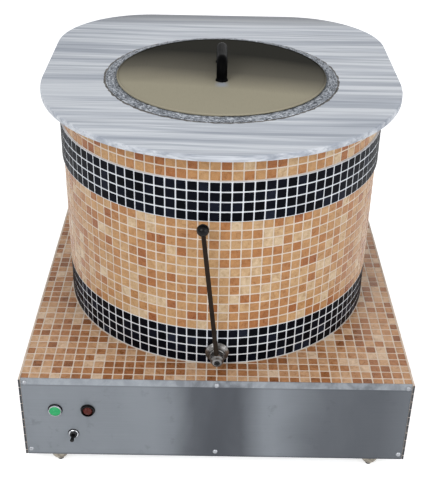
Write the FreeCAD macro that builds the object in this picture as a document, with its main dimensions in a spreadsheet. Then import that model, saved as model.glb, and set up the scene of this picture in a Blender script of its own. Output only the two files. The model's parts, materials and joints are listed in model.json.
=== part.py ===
"""Clay tandoor oven: a clay pot in a round mosaic-clad drum on a square mosaic-clad base.

Millimetres, +Z up. The origin is on the floor, below the axis of the pot, and the control
panel faces -Y. Every driving size is one cell of the spreadsheet "Sizes"; the expressions in
DERIVED are worked out from those cells, and every sketch, box and placement is bound to them.
"""
import FreeCAD
import Part
import math
import os
import re
import Sketcher
from FreeCAD import Placement, Rotation, Vector

SIZES = {
    # mosaic: 20 mm glass tiles on a 21.8 mm pitch
    "tile_pitch": 21.8,
    "skin_thickness": 5.0,
    "deck_columns": 38,
    # base cabinet
    "foot_height": 34.0,
    "base_height": 208.0,
    "sheet_gauge": 1.5,
    "deck_board_thickness": 18.0,
    "side_board_thickness": 12.0,
    "section_leg": 40.0,
    "section_gauge": 4.0,
    "foot_block_side": 92.0,
    "foot_block_thickness": 8.0,
    "beam_height": 50.0,
    "beam_flange": 30.0,
    "beam_spacing": 300.0,
    "pan_gauge": 2.0,
    "pan_rim_height": 22.0,
    "pan_slot_length": 180.0,
    "pan_slot_width": 12.0,
    "pan_slot_pitch": 32.0,
    "pan_slot_count": 8,
    # front panel
    "lip_height": 14.0,
    "lip_setback": 3.5,
    "screw_inset_side": 13.0,
    "screw_inset_top": 9.5,
    "screw_inset_bottom": 14.0,
    "screw_head_radius": 5.6,
    "screw_head_height": 3.4,
    "screw_shank_radius": 2.4,
    "screw_shank_length": 9.0,
    "pilot_drop": 1.6,
    # rear panel
    "louvre_length": 150.0,
    "louvre_width": 7.0,
    "louvre_pitch": 20.0,
    "louvre_rise": 62.0,
    "louvre_count": 5,
    # feet
    "foot_flange_radius": 20.0,
    "foot_flange_height": 3.0,
    "foot_cone_radius": 13.0,
    "foot_tip_radius": 8.5,
    "foot_pad_radius": 7.5,
    "foot_pad_height": 6.0,
    "foot_pad_bevel": 1.0,
    "foot_stud_radius": 5.0,
    "foot_stud_length": 7.0,
    "foot_inset_side": 66.0,
    "foot_inset_end": 24.0,
    # drum
    "drum_columns": 101,
    "lower_band_rows": 4,
    "field_rows": 12,
    "upper_band_rows": 4,
    "collar_rows": 3,
    "band_proud": 4.0,
    "shell_gauge": 3.0,
    "cock_recess_width": 190.0,
    "cock_recess_height": 66.0,
    "cock_recess_inset": 60.0,
    # hearth and clay pot
    "hearth_thickness": 40.0,
    "hearth_opening_radius": 75.0,
    "hearth_bevel": 10.0,
    "hearth_edge": 2.0,
    "deck_opening_radius": 96.0,
    "packing_thickness": 68.0,
    "pot_wall": 38.0,
    "pot_curve_radius": 480.0,
    "pot_foot_band": 26.0,
    "pot_foot_taper": 4.0,
    "mouth_radius": 206.0,
    # marble slab and mouth ring
    "slab_half_width": 388.0,
    "slab_front_reach": 402.0,
    "slab_back_reach": 438.0,
    "slab_corner_radius": 222.0,
    "slab_thickness": 12.0,
    "slab_edge_round": 3.0,
    "ring_radius": 246.0,
    "ring_lip_width": 7.0,
    "ring_lip_height": 2.5,
    "ring_crown_height": 6.0,
    "ring_rebate_depth": 4.5,
    "ring_edge_slope": 2.0,
    "ring_step": 3.0,
    "ring_step_rise": 1.0,
    "ring_crown_inset": 8.0,
    "ring_bevel": 3.0,
    "mouth_round": 6.0,
    "clip_width": 11.0,
    "clip_reach": 14.0,
    "clip_drop": 9.0,
    "clip_gauge": 2.5,
    "left_clip_angle": 20.0,
    "right_clip_angle": 25.0,
    # lid
    "lid_radius": 228.0,
    "lid_side_gap": 3.0,
    "lid_gauge": 2.0,
    "lid_crown": 7.0,
    "lid_bead_radius": 3.0,
    "handle_span": 112.0,
    "handle_rise": 50.0,
    "handle_radius": 11.5,
    "handle_bend_radius": 21.0,
    "handle_foot_radius": 13.5,
    "handle_foot_height": 5.0,
    "handle_screw_radius": 2.5,
    "handle_screw_grip": 12.0,
    "handle_washer_radius": 7.0,
    "handle_washer_thickness": 1.6,
    "handle_head_radius": 4.5,
    "handle_head_height": 2.5,
    # lever, boss and gas cock
    "pivot_rise": 31.0,
    "lever_length": 315.0,
    "lever_lean": 6.0,
    "lever_rod_radius": 4.75,
    "knob_radius": 12.5,
    "knob_bore_depth": 15.0,
    "boss_flange_radius": 25.0,
    "boss_flange_thickness": 4.0,
    "boss_length": 19.0,
    "boss_nose_radius": 15.0,
    "boss_waist_step": 1.0,
    "boss_flange_bevel": 1.0,
    "boss_neck": 4.0,
    "boss_collar": 3.0,
    "hub_length": 21.0,
    "hub_radius": 14.0,
    "hub_nose_radius": 11.0,
    "hub_middle": 9.0,
    "hub_shoulder": 8.0,
    "hub_taper_end": 5.0,
    "hub_nose_round": 3.0,
    "rod_end_gap": 2.0,
    "rod_bevel": 1.0,
    "cock_end_wall": 4.0,
    "spindle_radius": 6.0,
    "spindle_seat_depth": 16.0,
    "cock_radius": 19.0,
    "cock_length": 46.0,
    "cock_port_radius": 11.0,
    "cock_port_reach": 32.0,
    "plug_front_radius": 11.0,
    "plug_rear_radius": 8.5,
    "plug_port_radius": 5.0,
    "plug_tail_radius": 4.0,
    "plug_nut_radius": 8.0,
    "plug_nut_thickness": 5.0,
    # gas line and burner
    "pipe_radius": 7.5,
    "pipe_bore_radius": 6.0,
    "pipe_bend_radius": 26.0,
    "pipe_drop_offset": 75.0,
    "supply_height": 104.0,
    "inlet_offset": 190.0,
    "inlet_thread_radius": 10.48,
    "inlet_thread_length": 16.0,
    "inlet_collar_radius": 16.0,
    "inlet_collar_thickness": 6.0,
    "inlet_inner_length": 4.0,
    "inlet_bore_depth": 20.0,
    "burner_radius": 62.0,
    "burner_height": 34.0,
    "burner_cap_rise": 8.0,
    "burner_port_count": 24,
    "burner_port_width": 4.0,
    "burner_port_height": 9.0,
    "burner_port_drop": 5.0,
    "burner_port_depth": 8.0,
    "burner_seat_depth": 10.0,
    "burner_hub_wall": 6.0,
    "burner_rim_height": 16.0,
    "burner_bowl_radius": 40.0,
    "burner_cap_round": 3.0,
    "mixer_radius": 22.0,
    "mixer_wall": 4.0,
    "mixer_mouth_radius": 31.0,
    "mixer_flange_radius": 38.0,
    "mixer_flange_thickness": 3.0,
    "mixer_mouth_gap": 3.0,
    "mixer_mouth_lip": 3.0,
    "mixer_flare_height": 20.0,
    "mixer_flare_radius": 24.0,
    "bracket_width": 70.0,
    "bracket_gauge": 4.0,
    "bracket_drop": 96.0,
    "bracket_gap": 84.0,
    "jet_block_side": 34.0,
    "jet_block_height": 28.0,
    "jet_radius": 5.0,
    "jet_height": 10.0,
    "electrode_offset": 69.0,
    "electrode_radius": 3.5,
    "electrode_collar_radius": 6.0,
    "electrode_collar_height": 8.0,
    "electrode_tail": 24.0,
    "electrode_tip_drop": 4.0,
    "electrode_tip_rise": 6.0,
    "electrode_wire_radius": 1.2,
    # controls
    "controls_drop": 81.0,
    "button_offset": 341.0,
    "lamp_offset": 272.0,
    "toggle_offset": 306.0,
    "toggle_drop": 147.0,
    "barrel_radius": 11.0,
    "barrel_length": 16.0,
    "bezel_radius": 13.8,
    "bezel_height": 6.5,
    "bezel_floor": 1.2,
    "bezel_bevel": 0.6,
    "bezel_bevel_height": 1.0,
    "stem_radius": 8.0,
    "button_radius": 12.2,
    "button_bore_gap": 0.3,
    "button_rim": 2.4,
    "button_travel": 2.5,
    "button_stem_gap": 1.0,
    "button_round": 1.0,
    "button_crown": 0.6,
    "lens_rise": 3.5,
    "block_side": 28.0,
    "block_depth": 34.0,
    "toggle_bush_radius": 6.0,
    "toggle_bush_length": 10.0,
    "toggle_nut_radius": 9.0,
    "toggle_nut_thickness": 3.0,
    "toggle_nut_bevel": 0.8,
    "toggle_bore_radius": 4.6,
    "toggle_ball_radius": 4.3,
    "toggle_reach": 20.5,
    "toggle_bush_stand": 6.0,
    "toggle_pivot_stand": 2.0,
    "toggle_turn": 20.0,
    "toggle_root_radius": 1.6,
    "toggle_tip_radius": 3.2,
    "toggle_throw": 15.0,
    "spark_box_length": 90.0,
    "spark_box_depth": 46.0,
    "spark_box_height": 38.0,
    "spark_box_setback": 90.0,
    "gland_nut_radius": 9.5,
    "gland_nut_height": 5.0,
    "gland_height": 14.0,
    # fits
    "seat_gap": 0.3,
    "shaft_gap": 0.05,
    "thread_gap": 0.15,
    "hole_gap": 1.0,
}

DERIVED = {
    "base_width": "deck_columns * tile_pitch",
    "half_base": "base_width / 2",
    "half_core": "half_base - skin_thickness",
    "base_bottom": "foot_height",
    "deck_top": "foot_height + base_height",
    "board_top": "deck_top - skin_thickness",
    "board_bottom": "board_top - deck_board_thickness",
    "panel_back": "half_base - sheet_gauge",
    "beam_bottom": "board_bottom - beam_height",
    "rail_bottom": "beam_bottom - section_gauge",
    "pan_bottom": "foot_height + foot_block_thickness",
    "drum_radius": "drum_columns * tile_pitch / (2 * pi)",
    "skin_bore": "drum_radius - skin_thickness",
    "shell_radius": "skin_bore - seat_gap",
    "shell_bore": "shell_radius - shell_gauge",
    "lower_band_top": "deck_top + lower_band_rows * tile_pitch",
    "field_top": "lower_band_top + field_rows * tile_pitch",
    "upper_band_top": "field_top + upper_band_rows * tile_pitch",
    "slab_bottom": "upper_band_top + collar_rows * tile_pitch",
    "slab_top": "slab_bottom + slab_thickness",
    "hearth_top": "board_top + hearth_thickness",
    "pot_foot_radius": "shell_bore - packing_thickness",
    "hearth_radius": "pot_foot_radius + hearth_edge",
    "pot_rim_radius": "mouth_radius + pot_wall",
    "ring_top": "slab_top + ring_crown_height",
    "rebate_top": "ring_top - ring_rebate_depth",
    "rebate_radius": "lid_radius + lid_side_gap",
    "lid_bottom": "rebate_top + seat_gap",
    "lid_plate_top": "lid_bottom + lid_bead_radius + lid_gauge / 2",
    "pivot_height": "deck_top + pivot_rise",
    "boss_face": "drum_radius + seat_gap",
    "hub_face": "boss_face + boss_length + seat_gap",
    "cock_front": "sqrt(shell_bore ^ 2 - cock_radius ^ 2) - seat_gap",
    "cock_back": "cock_front - cock_length",
    "cock_middle": "cock_front - cock_length / 2",
    "control_face": "half_base",
    "knob_socket_top": "lever_length - knob_radius + knob_bore_depth",
    "button_height": "deck_top - controls_drop",
    "toggle_height": "deck_top - toggle_drop",
    "bracket_bottom": "beam_bottom - bracket_drop",
    "jet_middle": "bracket_bottom + bracket_gauge + jet_block_height / 2",
    "burner_bottom": "board_top - burner_seat_depth",
    "burner_top": "burner_bottom + burner_height",
    "plate_top": "beam_bottom",
}

doc = FreeCAD.newDocument("tandoor_oven")
sheet = doc.addObject("Spreadsheet::Sheet", "Sizes")
for row, (alias, size) in enumerate(SIZES.items(), start=1):
    sheet.set("A" + str(row), alias)
    sheet.set("B" + str(row), str(size))
    sheet.setAlias("B" + str(row), alias)
doc.recompute()

WORD = re.compile(r"[a-z_]+[a-z0-9_]*")


def bound(expression):
    """Rewrite a sum of size names as an expression on the spreadsheet."""
    def link(match):
        name = match.group(0)
        if name in DERIVED:
            return "(" + bound(DERIVED[name]) + ")"
        if name in SIZES:
            return "Sizes." + name
        return name
    return WORD.sub(link, str(expression))


def number(expression):
    """The value of an expression, read through the spreadsheet."""
    return float(sheet.evalExpression(bound(expression)))


def bind(thing, path, expression):
    """Drive one property of an object with an expression."""
    thing.setExpression(path, bound(expression))


nodes = []


def new_body(label):
    """A sub-part made with sketches and features."""
    body = doc.addObject("PartDesign::Body", label)
    body.Label = label
    nodes.append(body)
    return body


def place(thing, x="0", y="0", z="0", axis=Vector(0, 0, 1), angle=0.0):
    """Put a sub-part where its expressions say, turned about its own origin."""
    turn = Rotation(axis, angle)
    thing.Placement = Placement(Vector(number(x), number(y), number(z)), turn)
    bind(thing, "Placement.Base.x", x)
    bind(thing, "Placement.Base.y", y)
    bind(thing, "Placement.Base.z", z)


def new_sketch(body, plane, label):
    """An empty sketch on one of the body's own origin planes."""
    sketch = body.newObject("Sketcher::SketchObject", body.Name + "_" + label)
    origin = [item for item in body.Origin.OriginFeatures if item.Role == plane + "_Plane"][0]
    sketch.AttachmentSupport = [(origin, "")]
    sketch.MapMode = "FlatFace"
    return sketch


def arc_between(start, end, radius, side):
    """A counter-clockwise arc through two points, and whether it runs from start to end."""
    chord = end - start
    half = chord.Length / 2
    height = math.sqrt(max(radius * radius - half * half, 0.0))
    left = Vector(-chord.y, chord.x, 0).normalize()
    centre = start + chord * 0.5 - left * (height * side)
    first = math.atan2(start.y - centre.y, start.x - centre.x)
    last = math.atan2(end.y - centre.y, end.x - centre.x)
    circle = Part.Circle(centre, Vector(0, 0, 1), radius)
    if side < 0:
        return Part.ArcOfCircle(circle, first, last), True
    return Part.ArcOfCircle(circle, last, first), False


def trace(sketch, points):
    """Draw a closed outline whose corners, and arc radii, are bound to the sizes.

    A point is (across, up) or, where an arc leads to it, (across, up, radius, side): side is 1
    where the arc bulges to the left of the way it is travelled and -1 to the right.
    """
    corners = [Vector(number(p[0]), number(p[1]), 0) for p in points]
    first_geometry = sketch.GeometryCount
    ends = []
    for index, point in enumerate(points):
        start = corners[index - 1]
        end = corners[index]
        if len(point) == 2:
            piece = sketch.addGeometry(Part.LineSegment(start, end), False)
            ends.append((piece, 1, 2))
            continue
        arc, forward = arc_between(start, end, number(point[2]), point[3])
        piece = sketch.addGeometry(arc, False)
        ends.append((piece, 1, 2) if forward else (piece, 2, 1))
    for index, (piece, start_end, last_end) in enumerate(ends):
        after = ends[(index + 1) % len(ends)]
        sketch.addConstraint(Sketcher.Constraint("Coincident", piece, last_end, after[0], after[1]))
    for index, (piece, start_end, last_end) in enumerate(ends):
        across = Sketcher.Constraint("DistanceX", -1, 1, piece, last_end, corners[index].x)
        spot = sketch.addConstraint(across)
        bind(sketch, "Constraints[" + str(spot) + "]", points[index][0])
        upward = Sketcher.Constraint("DistanceY", -1, 1, piece, last_end, corners[index].y)
        spot = sketch.addConstraint(upward)
        bind(sketch, "Constraints[" + str(spot) + "]", points[index][1])
        if len(points[index]) > 2:
            bend = Sketcher.Constraint("Radius", piece, number(points[index][2]))
            spot = sketch.addConstraint(bend)
            bind(sketch, "Constraints[" + str(spot) + "]", points[index][2])
    return first_geometry


def ring_curve(sketch, across, up, radius):
    """Draw a circle whose centre and radius are bound to the sizes."""
    centre = Vector(number(across), number(up), 0)
    circle = Part.Circle(centre, Vector(0, 0, 1), number(radius))
    piece = sketch.addGeometry(circle, False)
    spot = sketch.addConstraint(Sketcher.Constraint("Radius", piece, number(radius)))
    bind(sketch, "Constraints[" + str(spot) + "]", radius)
    spot = sketch.addConstraint(Sketcher.Constraint("DistanceX", -1, 1, piece, 3, centre.x))
    bind(sketch, "Constraints[" + str(spot) + "]", across)
    spot = sketch.addConstraint(Sketcher.Constraint("DistanceY", -1, 1, piece, 3, centre.y))
    bind(sketch, "Constraints[" + str(spot) + "]", up)


def block_curve(sketch, left, low, right, high):
    """Draw a rectangle between two corners."""
    trace(sketch, [(left, low), (right, low), (right, high), (left, high)])


def revolve(body, points, label="profile"):
    """Turn an outline of (radius, height) points about the body's Z axis."""
    sketch = new_sketch(body, "XZ", label)
    trace(sketch, points)
    feature = body.newObject("PartDesign::Revolution", body.Name + "_" + label + "_turn")
    feature.Profile = sketch
    feature.ReferenceAxis = (sketch, ["V_Axis"])
    feature.Angle = 360
    sketch.Visibility = False
    return feature


def pad(body, sketch, length, midplane=False, reverse=False):
    """Raise a sketch into a solid of the given length."""
    feature = body.newObject("PartDesign::Pad", sketch.Name + "_pad")
    feature.Profile = sketch
    feature.Length = number(length)
    bind(feature, "Length", length)
    feature.Midplane = midplane
    feature.Reversed = reverse
    return feature


def pocket(body, sketch, length=None, midplane=False, reverse=False):
    """Cut a sketch out of the body and make sure that it removed material."""
    doc.recompute()
    before = body.Shape.Volume
    feature = body.newObject("PartDesign::Pocket", sketch.Name + "_cut")
    feature.Profile = sketch
    if length is None:
        feature.Type = 1
    else:
        feature.Length = number(length)
        bind(feature, "Length", length)
    feature.Midplane = midplane
    feature.Reversed = reverse
    doc.recompute()
    if body.Shape.Volume > before - 0.01:
        raise RuntimeError(sketch.Name + " cut nothing")
    return feature


def slab_between(label, low, high):
    """A plain board between two corners, as a Part box."""
    board = doc.addObject("Part::Box", label)
    board.Label = label
    for path, lower, upper in zip(("Length", "Width", "Height"), low, high):
        bind(board, path, "(" + upper + ") - (" + lower + ")")
    place(board, *low)
    return board


def node_of(thing, label):
    """Take a Part object as a sub-part."""
    thing.Label = label
    nodes.append(thing)
    return thing


def signed(sign, expression):
    """An expression, or its negative."""
    return "(" + expression + ")" if sign > 0 else "-(" + expression + ")"


# ---------------------------------------------------------------- base cabinet

SIDES = {"left": -1, "right": 1}
ENDS = {"front": -1, "rear": 1}
QUARTER_TURNS = {(-1, -1): 0, (1, -1): 90, (1, 1): 180, (-1, 1): 270}


def corner_post(label, side, end):
    """An angle-section post with the drilled block that takes a foot, at one corner."""
    body = new_body(label)
    outline = new_sketch(body, "XY", "section")
    trace(outline, [
        ("0", "0"),
        ("section_leg", "0"),
        ("section_leg", "section_gauge"),
        ("section_gauge", "section_gauge"),
        ("section_gauge", "section_leg"),
        ("0", "section_leg"),
    ])
    pad(body, outline, "board_bottom - base_bottom")
    foot_block = new_sketch(body, "XY", "block")
    block_curve(foot_block, "0", "0", "foot_block_side", "foot_block_side")
    pad(body, foot_block, "foot_block_thickness")
    along_x = side * end > 0
    stud_hole = new_sketch(body, "XY", "stud_hole")
    insets = ("foot_inset_side", "foot_inset_end")
    across, upward = insets if along_x else insets[::-1]
    ring_curve(stud_hole, across, upward, "foot_stud_radius + thread_gap")
    pocket(body, stud_hole, "foot_block_thickness", reverse=True)
    if end < 0:
        screw_hole = new_sketch(body, "XZ" if along_x else "YZ", "screw_hole")
        ring_curve(screw_hole, "half_core - half_base + screw_inset_side", "screw_inset_bottom",
                   "screw_shank_radius + thread_gap")
        pocket(body, screw_hole, "section_gauge * 3", midplane=True)
    place(body, signed(side, "half_core"), signed(end, "panel_back"), "base_bottom",
          angle=QUARTER_TURNS[(side, end)])
    return body


for end_name, end in ENDS.items():
    for side_name, side in SIDES.items():
        corner_post("corner_post_" + end_name + "_" + side_name, side, end)


FOOT_X = "half_core - foot_inset_side"
FOOT_Y = "panel_back - foot_inset_end"


def foot(label, side, end):
    """A turned foot: stud, flange and tapered stem, with a rubber pad let into its end."""
    body = new_body(label)
    revolve(body, [
        ("0", "foot_pad_height"),
        ("foot_tip_radius", "foot_pad_height"),
        ("foot_cone_radius", "foot_height - foot_flange_height"),
        ("foot_flange_radius", "foot_height - foot_flange_height"),
        ("foot_flange_radius", "foot_height"),
        ("foot_stud_radius", "foot_height"),
        ("foot_stud_radius", "foot_height + foot_stud_length"),
        ("0", "foot_height + foot_stud_length"),
    ])
    place(body, signed(side, FOOT_X), signed(end, FOOT_Y), "0")
    return body


for end_name, end in ENDS.items():
    for side_name, side in SIDES.items():
        foot("foot_" + end_name + "_" + side_name, side, end)


def foot_pads():
    """The four rubber pads, one under each foot."""
    pads = []
    for end in ENDS.values():
        for side in SIDES.values():
            disc = doc.addObject("Part::Cone", "foot_pad_blank")
            bind(disc, "Radius1", "foot_pad_radius - foot_pad_bevel")
            bind(disc, "Radius2", "foot_pad_radius")
            bind(disc, "Height", "foot_pad_height")
            place(disc, signed(side, FOOT_X), signed(end, FOOT_Y), "0")
            pads.append(disc)
    group = doc.addObject("Part::Compound", "foot_pads")
    group.Links = pads
    return node_of(group, "foot_pads")


foot_pads()


def side_rail(label, side):
    """The angle that carries the deck beams along one side of the base."""
    body = new_body(label)
    outline = new_sketch(body, "XZ", "section")
    trace(outline, [
        ("0", "0"),
        ("section_leg", "0"),
        ("section_leg", "section_gauge"),
        ("section_gauge", "section_gauge"),
        ("section_gauge", "section_leg"),
        ("0", "section_leg"),
    ])
    pad(body, outline, "2 * (panel_back - section_gauge)", midplane=True)
    x = "half_core - side_board_thickness"
    turn = 180 if side > 0 else 0
    place(body, x if side > 0 else "-(" + x + ")", "0", "rail_bottom", angle=turn)
    return body


def end_rail(label, end):
    """The angle under the front or rear edge of the deck board, between two posts."""
    body = new_body(label)
    outline = new_sketch(body, "YZ", "section")
    trace(outline, [
        ("0", "0"),
        ("section_gauge", "0"),
        ("section_gauge", "section_leg - section_gauge"),
        ("section_leg", "section_leg - section_gauge"),
        ("section_leg", "section_leg"),
        ("0", "section_leg"),
    ])
    pad(body, outline, "2 * (half_core - section_leg)", midplane=True)
    turn = 180 if end > 0 else 0
    y = "panel_back" if end > 0 else "-panel_back"
    place(body, "0", y, "board_bottom - section_leg", angle=turn)
    return body


def deck_beam(label, end):
    """A channel across the base, on the side rails, under the load of the pot."""
    body = new_body(label)
    outline = new_sketch(body, "YZ", "section")
    trace(outline, [
        ("0", "0"),
        ("beam_flange", "0"),
        ("beam_flange", "section_gauge"),
        ("section_gauge", "section_gauge"),
        ("section_gauge", "beam_height - section_gauge"),
        ("beam_flange", "beam_height - section_gauge"),
        ("beam_flange", "beam_height"),
        ("0", "beam_height"),
    ])
    pad(body, outline, "2 * (half_core - side_board_thickness - section_gauge - seat_gap)", midplane=True)
    turn = 0 if end > 0 else 180
    y = "beam_spacing / 2" if end > 0 else "-beam_spacing / 2"
    place(body, "0", y, "beam_bottom", angle=turn)
    return body


side_rail("side_rail_left", -1)
side_rail("side_rail_right", 1)
end_rail("end_rail_front", -1)
end_rail("end_rail_rear", 1)
deck_beam("deck_beam_front", -1)
deck_beam("deck_beam_rear", 1)


def floor_pan():
    """The tray in the bottom of the base, with slots that let in the burner's air."""
    body = new_body("floor_pan")
    half_x = "half_core - side_board_thickness - seat_gap"
    half_y = "panel_back - section_gauge - seat_gap"
    outline = new_sketch(body, "XY", "tray")
    block_curve(outline, "-(" + half_x + ")", "-(" + half_y + ")", half_x, half_y)
    pad(body, outline, "pan_rim_height")
    inside = new_sketch(body, "XY", "inside")
    inner_x = half_x + " - pan_gauge"
    inner_y = half_y + " - pan_gauge"
    block_curve(inside, "-(" + inner_x + ")", "-(" + inner_y + ")", inner_x, inner_y)
    inside.AttachmentOffset = Placement(Vector(0, 0, number("pan_gauge")), Rotation())
    bind(inside, "AttachmentOffset.Base.z", "pan_gauge")
    pocket(body, inside, reverse=True)
    screw_hole = new_sketch(body, "XZ", "screw_hole")
    ring_curve(screw_hole, "0", "base_bottom + screw_inset_bottom - pan_bottom",
               "screw_shank_radius + thread_gap")
    pocket(body, screw_hole, reverse=True)
    slot = new_sketch(body, "XY", "air_slot")
    middle = "pan_slot_pitch * (pan_slot_count - 1) / 2"
    block_curve(slot, "-pan_slot_length / 2", "-" + middle + " - pan_slot_width / 2",
                "pan_slot_length / 2", "-" + middle + " + pan_slot_width / 2")
    cut = pocket(body, slot, "pan_gauge * 2", midplane=True)
    row = body.newObject("PartDesign::LinearPattern", "floor_pan_air_slots")
    row.Originals = [cut]
    row.Direction = (slot, ["V_Axis"])
    bind(row, "Occurrences", "pan_slot_count")
    bind(row, "Length", "pan_slot_pitch * (pan_slot_count - 1)")
    body.Tip = row
    place(body, "0", "0", "pan_bottom")
    return body


floor_pan()


SCREW_COLUMNS = ("screw_inset_side - half_base", "0", "half_base - screw_inset_side")


def front_panel():
    """The stainless front sheet with its bent-back lip and the holes for the controls."""
    body = new_body("front_panel")
    side_view = new_sketch(body, "YZ", "side_view")
    front = "-half_base"
    trace(side_view, [
        (front, "base_bottom"),
        (front, "deck_top - lip_height"),
        (front + " + lip_setback", "deck_top"),
        (front + " + lip_setback + sheet_gauge", "deck_top"),
        (front + " + sheet_gauge", "deck_top - lip_height"),
        (front + " + sheet_gauge", "base_bottom"),
    ])
    pad(body, side_view, "2 * (half_core - seat_gap)", midplane=True)
    holes = new_sketch(body, "XZ", "holes")
    ring_curve(holes, "-button_offset", "button_height", "barrel_radius + thread_gap")
    ring_curve(holes, "-lamp_offset", "button_height", "barrel_radius + thread_gap")
    ring_curve(holes, "-toggle_offset", "toggle_height", "toggle_bush_radius + thread_gap")
    for across in SCREW_COLUMNS:
        ring_curve(holes, across, "base_bottom + screw_inset_bottom", "screw_shank_radius + thread_gap")
        ring_curve(holes, across, "deck_top - screw_inset_top", "screw_shank_radius + hole_gap / 2")
    pocket(body, holes, reverse=True)
    place(body)
    return body


front_panel()


def panel_screws():
    """Six dome-head screws: three along the lip and three along the bottom of the panel."""
    screws = []
    lean = math.degrees(math.atan2(number("lip_setback"), number("lip_height")))
    rows = (("deck_top - screw_inset_top", lean), ("base_bottom + screw_inset_bottom", 0.0))
    for up, tilt in rows:
        for across in SCREW_COLUMNS:
            head = number("screw_head_radius")
            rise = number("screw_head_height")
            bend = (head * head + rise * rise) / (2 * rise)
            dome = Part.makeSphere(bend, Vector(0, 0, rise - bend))
            keep = Part.makeCylinder(head, rise)
            shank = Part.makeCylinder(number("screw_shank_radius"), number("screw_shank_length"))
            shank.translate(Vector(0, 0, -number("screw_shank_length")))
            solid = dome.common(keep).fuse(shank).removeSplitter()
            solid.rotate(Vector(), Vector(1, 0, 0), 90 - tilt)
            setback = 0.0
            if tilt:
                drop = number("lip_height - screw_inset_top")
                setback = drop * number("lip_setback") / number("lip_height")
            spot = Vector(number(across), -number("half_base") + setback - 0.02, number(up))
            solid.translate(spot)
            screws.append(solid)
    group = doc.addObject("Part::Feature", "panel_screws")
    group.Shape = Part.makeCompound(screws)
    group.Placement = Placement()
    return node_of(group, "panel_screws")


panel_screws()


def rear_panel():
    """The rear sheet with louvre slots, the gas inlet hole and the cable gland hole."""
    body = new_body("rear_panel")
    sheet_outline = new_sketch(body, "XZ", "sheet")
    block_curve(sheet_outline, "-(half_core - seat_gap)", "base_bottom", "half_core - seat_gap", "deck_top")
    pad(body, sheet_outline, "sheet_gauge")
    holes = new_sketch(body, "XZ", "holes")
    ring_curve(holes, "-inlet_offset", "supply_height", "inlet_thread_radius + hole_gap")
    ring_curve(holes, "inlet_offset", "supply_height", "toggle_bush_radius + thread_gap")
    pocket(body, holes, "sheet_gauge * 4", midplane=True)
    slot = new_sketch(body, "XZ", "louvre")
    low = "base_bottom + louvre_rise"
    block_curve(slot, "-louvre_length / 2", low, "louvre_length / 2", low + " + louvre_width")
    cut = pocket(body, slot, "sheet_gauge * 4", midplane=True)
    row = body.newObject("PartDesign::LinearPattern", "rear_panel_louvres")
    row.Originals = [cut]
    row.Direction = (slot, ["V_Axis"])
    bind(row, "Occurrences", "louvre_count")
    bind(row, "Length", "louvre_pitch * (louvre_count - 1)")
    body.Tip = row
    place(body, "0", "half_base", "0")
    return body


rear_panel()


def side_boards():
    """The cement boards behind the mosaic of the two sides, and the mosaic itself."""
    long_edge = "panel_back - section_leg - seat_gap"
    for side_name, side in SIDES.items():
        inner = "half_core - side_board_thickness"
        low_x = "-half_core" if side < 0 else inner
        high_x = "-(" + inner + ")" if side < 0 else "half_core"
        board = slab_between("side_board_" + side_name, (low_x, "-(" + long_edge + ")", "pan_bottom"),
                             (high_x, long_edge, "board_bottom"))
        node_of(board, "side_board_" + side_name)
        low_x = "-half_base" if side < 0 else "half_core"
        high_x = "-half_core" if side < 0 else "half_base"
        skin = slab_between("side_mosaic_" + side_name, (low_x, "-half_base", "base_bottom"),
                            (high_x, "half_base", "deck_top"))
        node_of(skin, "side_mosaic_" + side_name)


side_boards()


def deck_board():
    """The cement board that carries the hearth, drilled for the burner and the gas pipes."""
    body = new_body("deck_board")
    outline = new_sketch(body, "XY", "outline")
    half_y = "panel_back - lip_setback"
    block_curve(outline, "-half_core", "-(" + half_y + ")", "half_core", "panel_back")
    pad(body, outline, "deck_board_thickness")
    holes = new_sketch(body, "XY", "holes")
    ring_curve(holes, "0", "0", "deck_opening_radius")
    for side in ("-", ""):
        ring_curve(holes, side + "pipe_drop_offset", "-cock_middle", "pipe_radius + hole_gap")
    pocket(body, holes, reverse=True)
    pilots = new_sketch(body, "XZ", "screw_pilots")
    for across in SCREW_COLUMNS:
        ring_curve(pilots, across, "deck_top - screw_inset_top - board_bottom - pilot_drop",
                   "screw_shank_radius + hole_gap")
    pilots.AttachmentOffset = Placement(Vector(0, 0, number(half_y)), Rotation())
    bind(pilots, "AttachmentOffset.Base.z", half_y)
    pocket(body, pilots, "screw_shank_length + hole_gap")
    place(body, "0", "0", "board_bottom")
    return body


def deck_mosaic():
    """The mosaic of the deck, cut round for the drum."""
    body = new_body("deck_mosaic")
    outline = new_sketch(body, "XY", "outline")
    front = "half_base - lip_setback - sheet_gauge - seat_gap"
    block_curve(outline, "-half_core", "-(" + front + ")", "half_core", "panel_back")
    ring_curve(outline, "0", "0", "skin_bore")
    pad(body, outline, "skin_thickness")
    place(body, "0", "0", "board_top")
    return body


deck_board()
deck_mosaic()


# ---------------------------------------------------------------- drum, hearth and pot

def tube_body(label, bore, radius, low, high, spindle_hole=False):
    """A plain ring of wall, drilled for the lever's spindle where it passes through."""
    body = new_body(label)
    revolve(body, [(bore, low), (radius, low), (radius, high), (bore, high)])
    if spindle_hole:
        hole = new_sketch(body, "XZ", "spindle_hole")
        ring_curve(hole, "0", "pivot_height", "spindle_radius + hole_gap")
        pocket(body, hole, reverse=True)
    place(body)
    return body


tube_body("drum_shell", "shell_bore", "shell_radius", "board_top", "slab_bottom", True)
tube_body("lower_band_mosaic", "skin_bore", "drum_radius", "deck_top", "lower_band_top", True)
tube_body("field_mosaic", "skin_bore", "drum_radius", "lower_band_top", "field_top")
tube_body("upper_band_mosaic", "skin_bore", "drum_radius + band_proud", "field_top", "upper_band_top")
tube_body("collar_mosaic", "skin_bore", "drum_radius", "upper_band_top", "slab_bottom")


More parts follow.
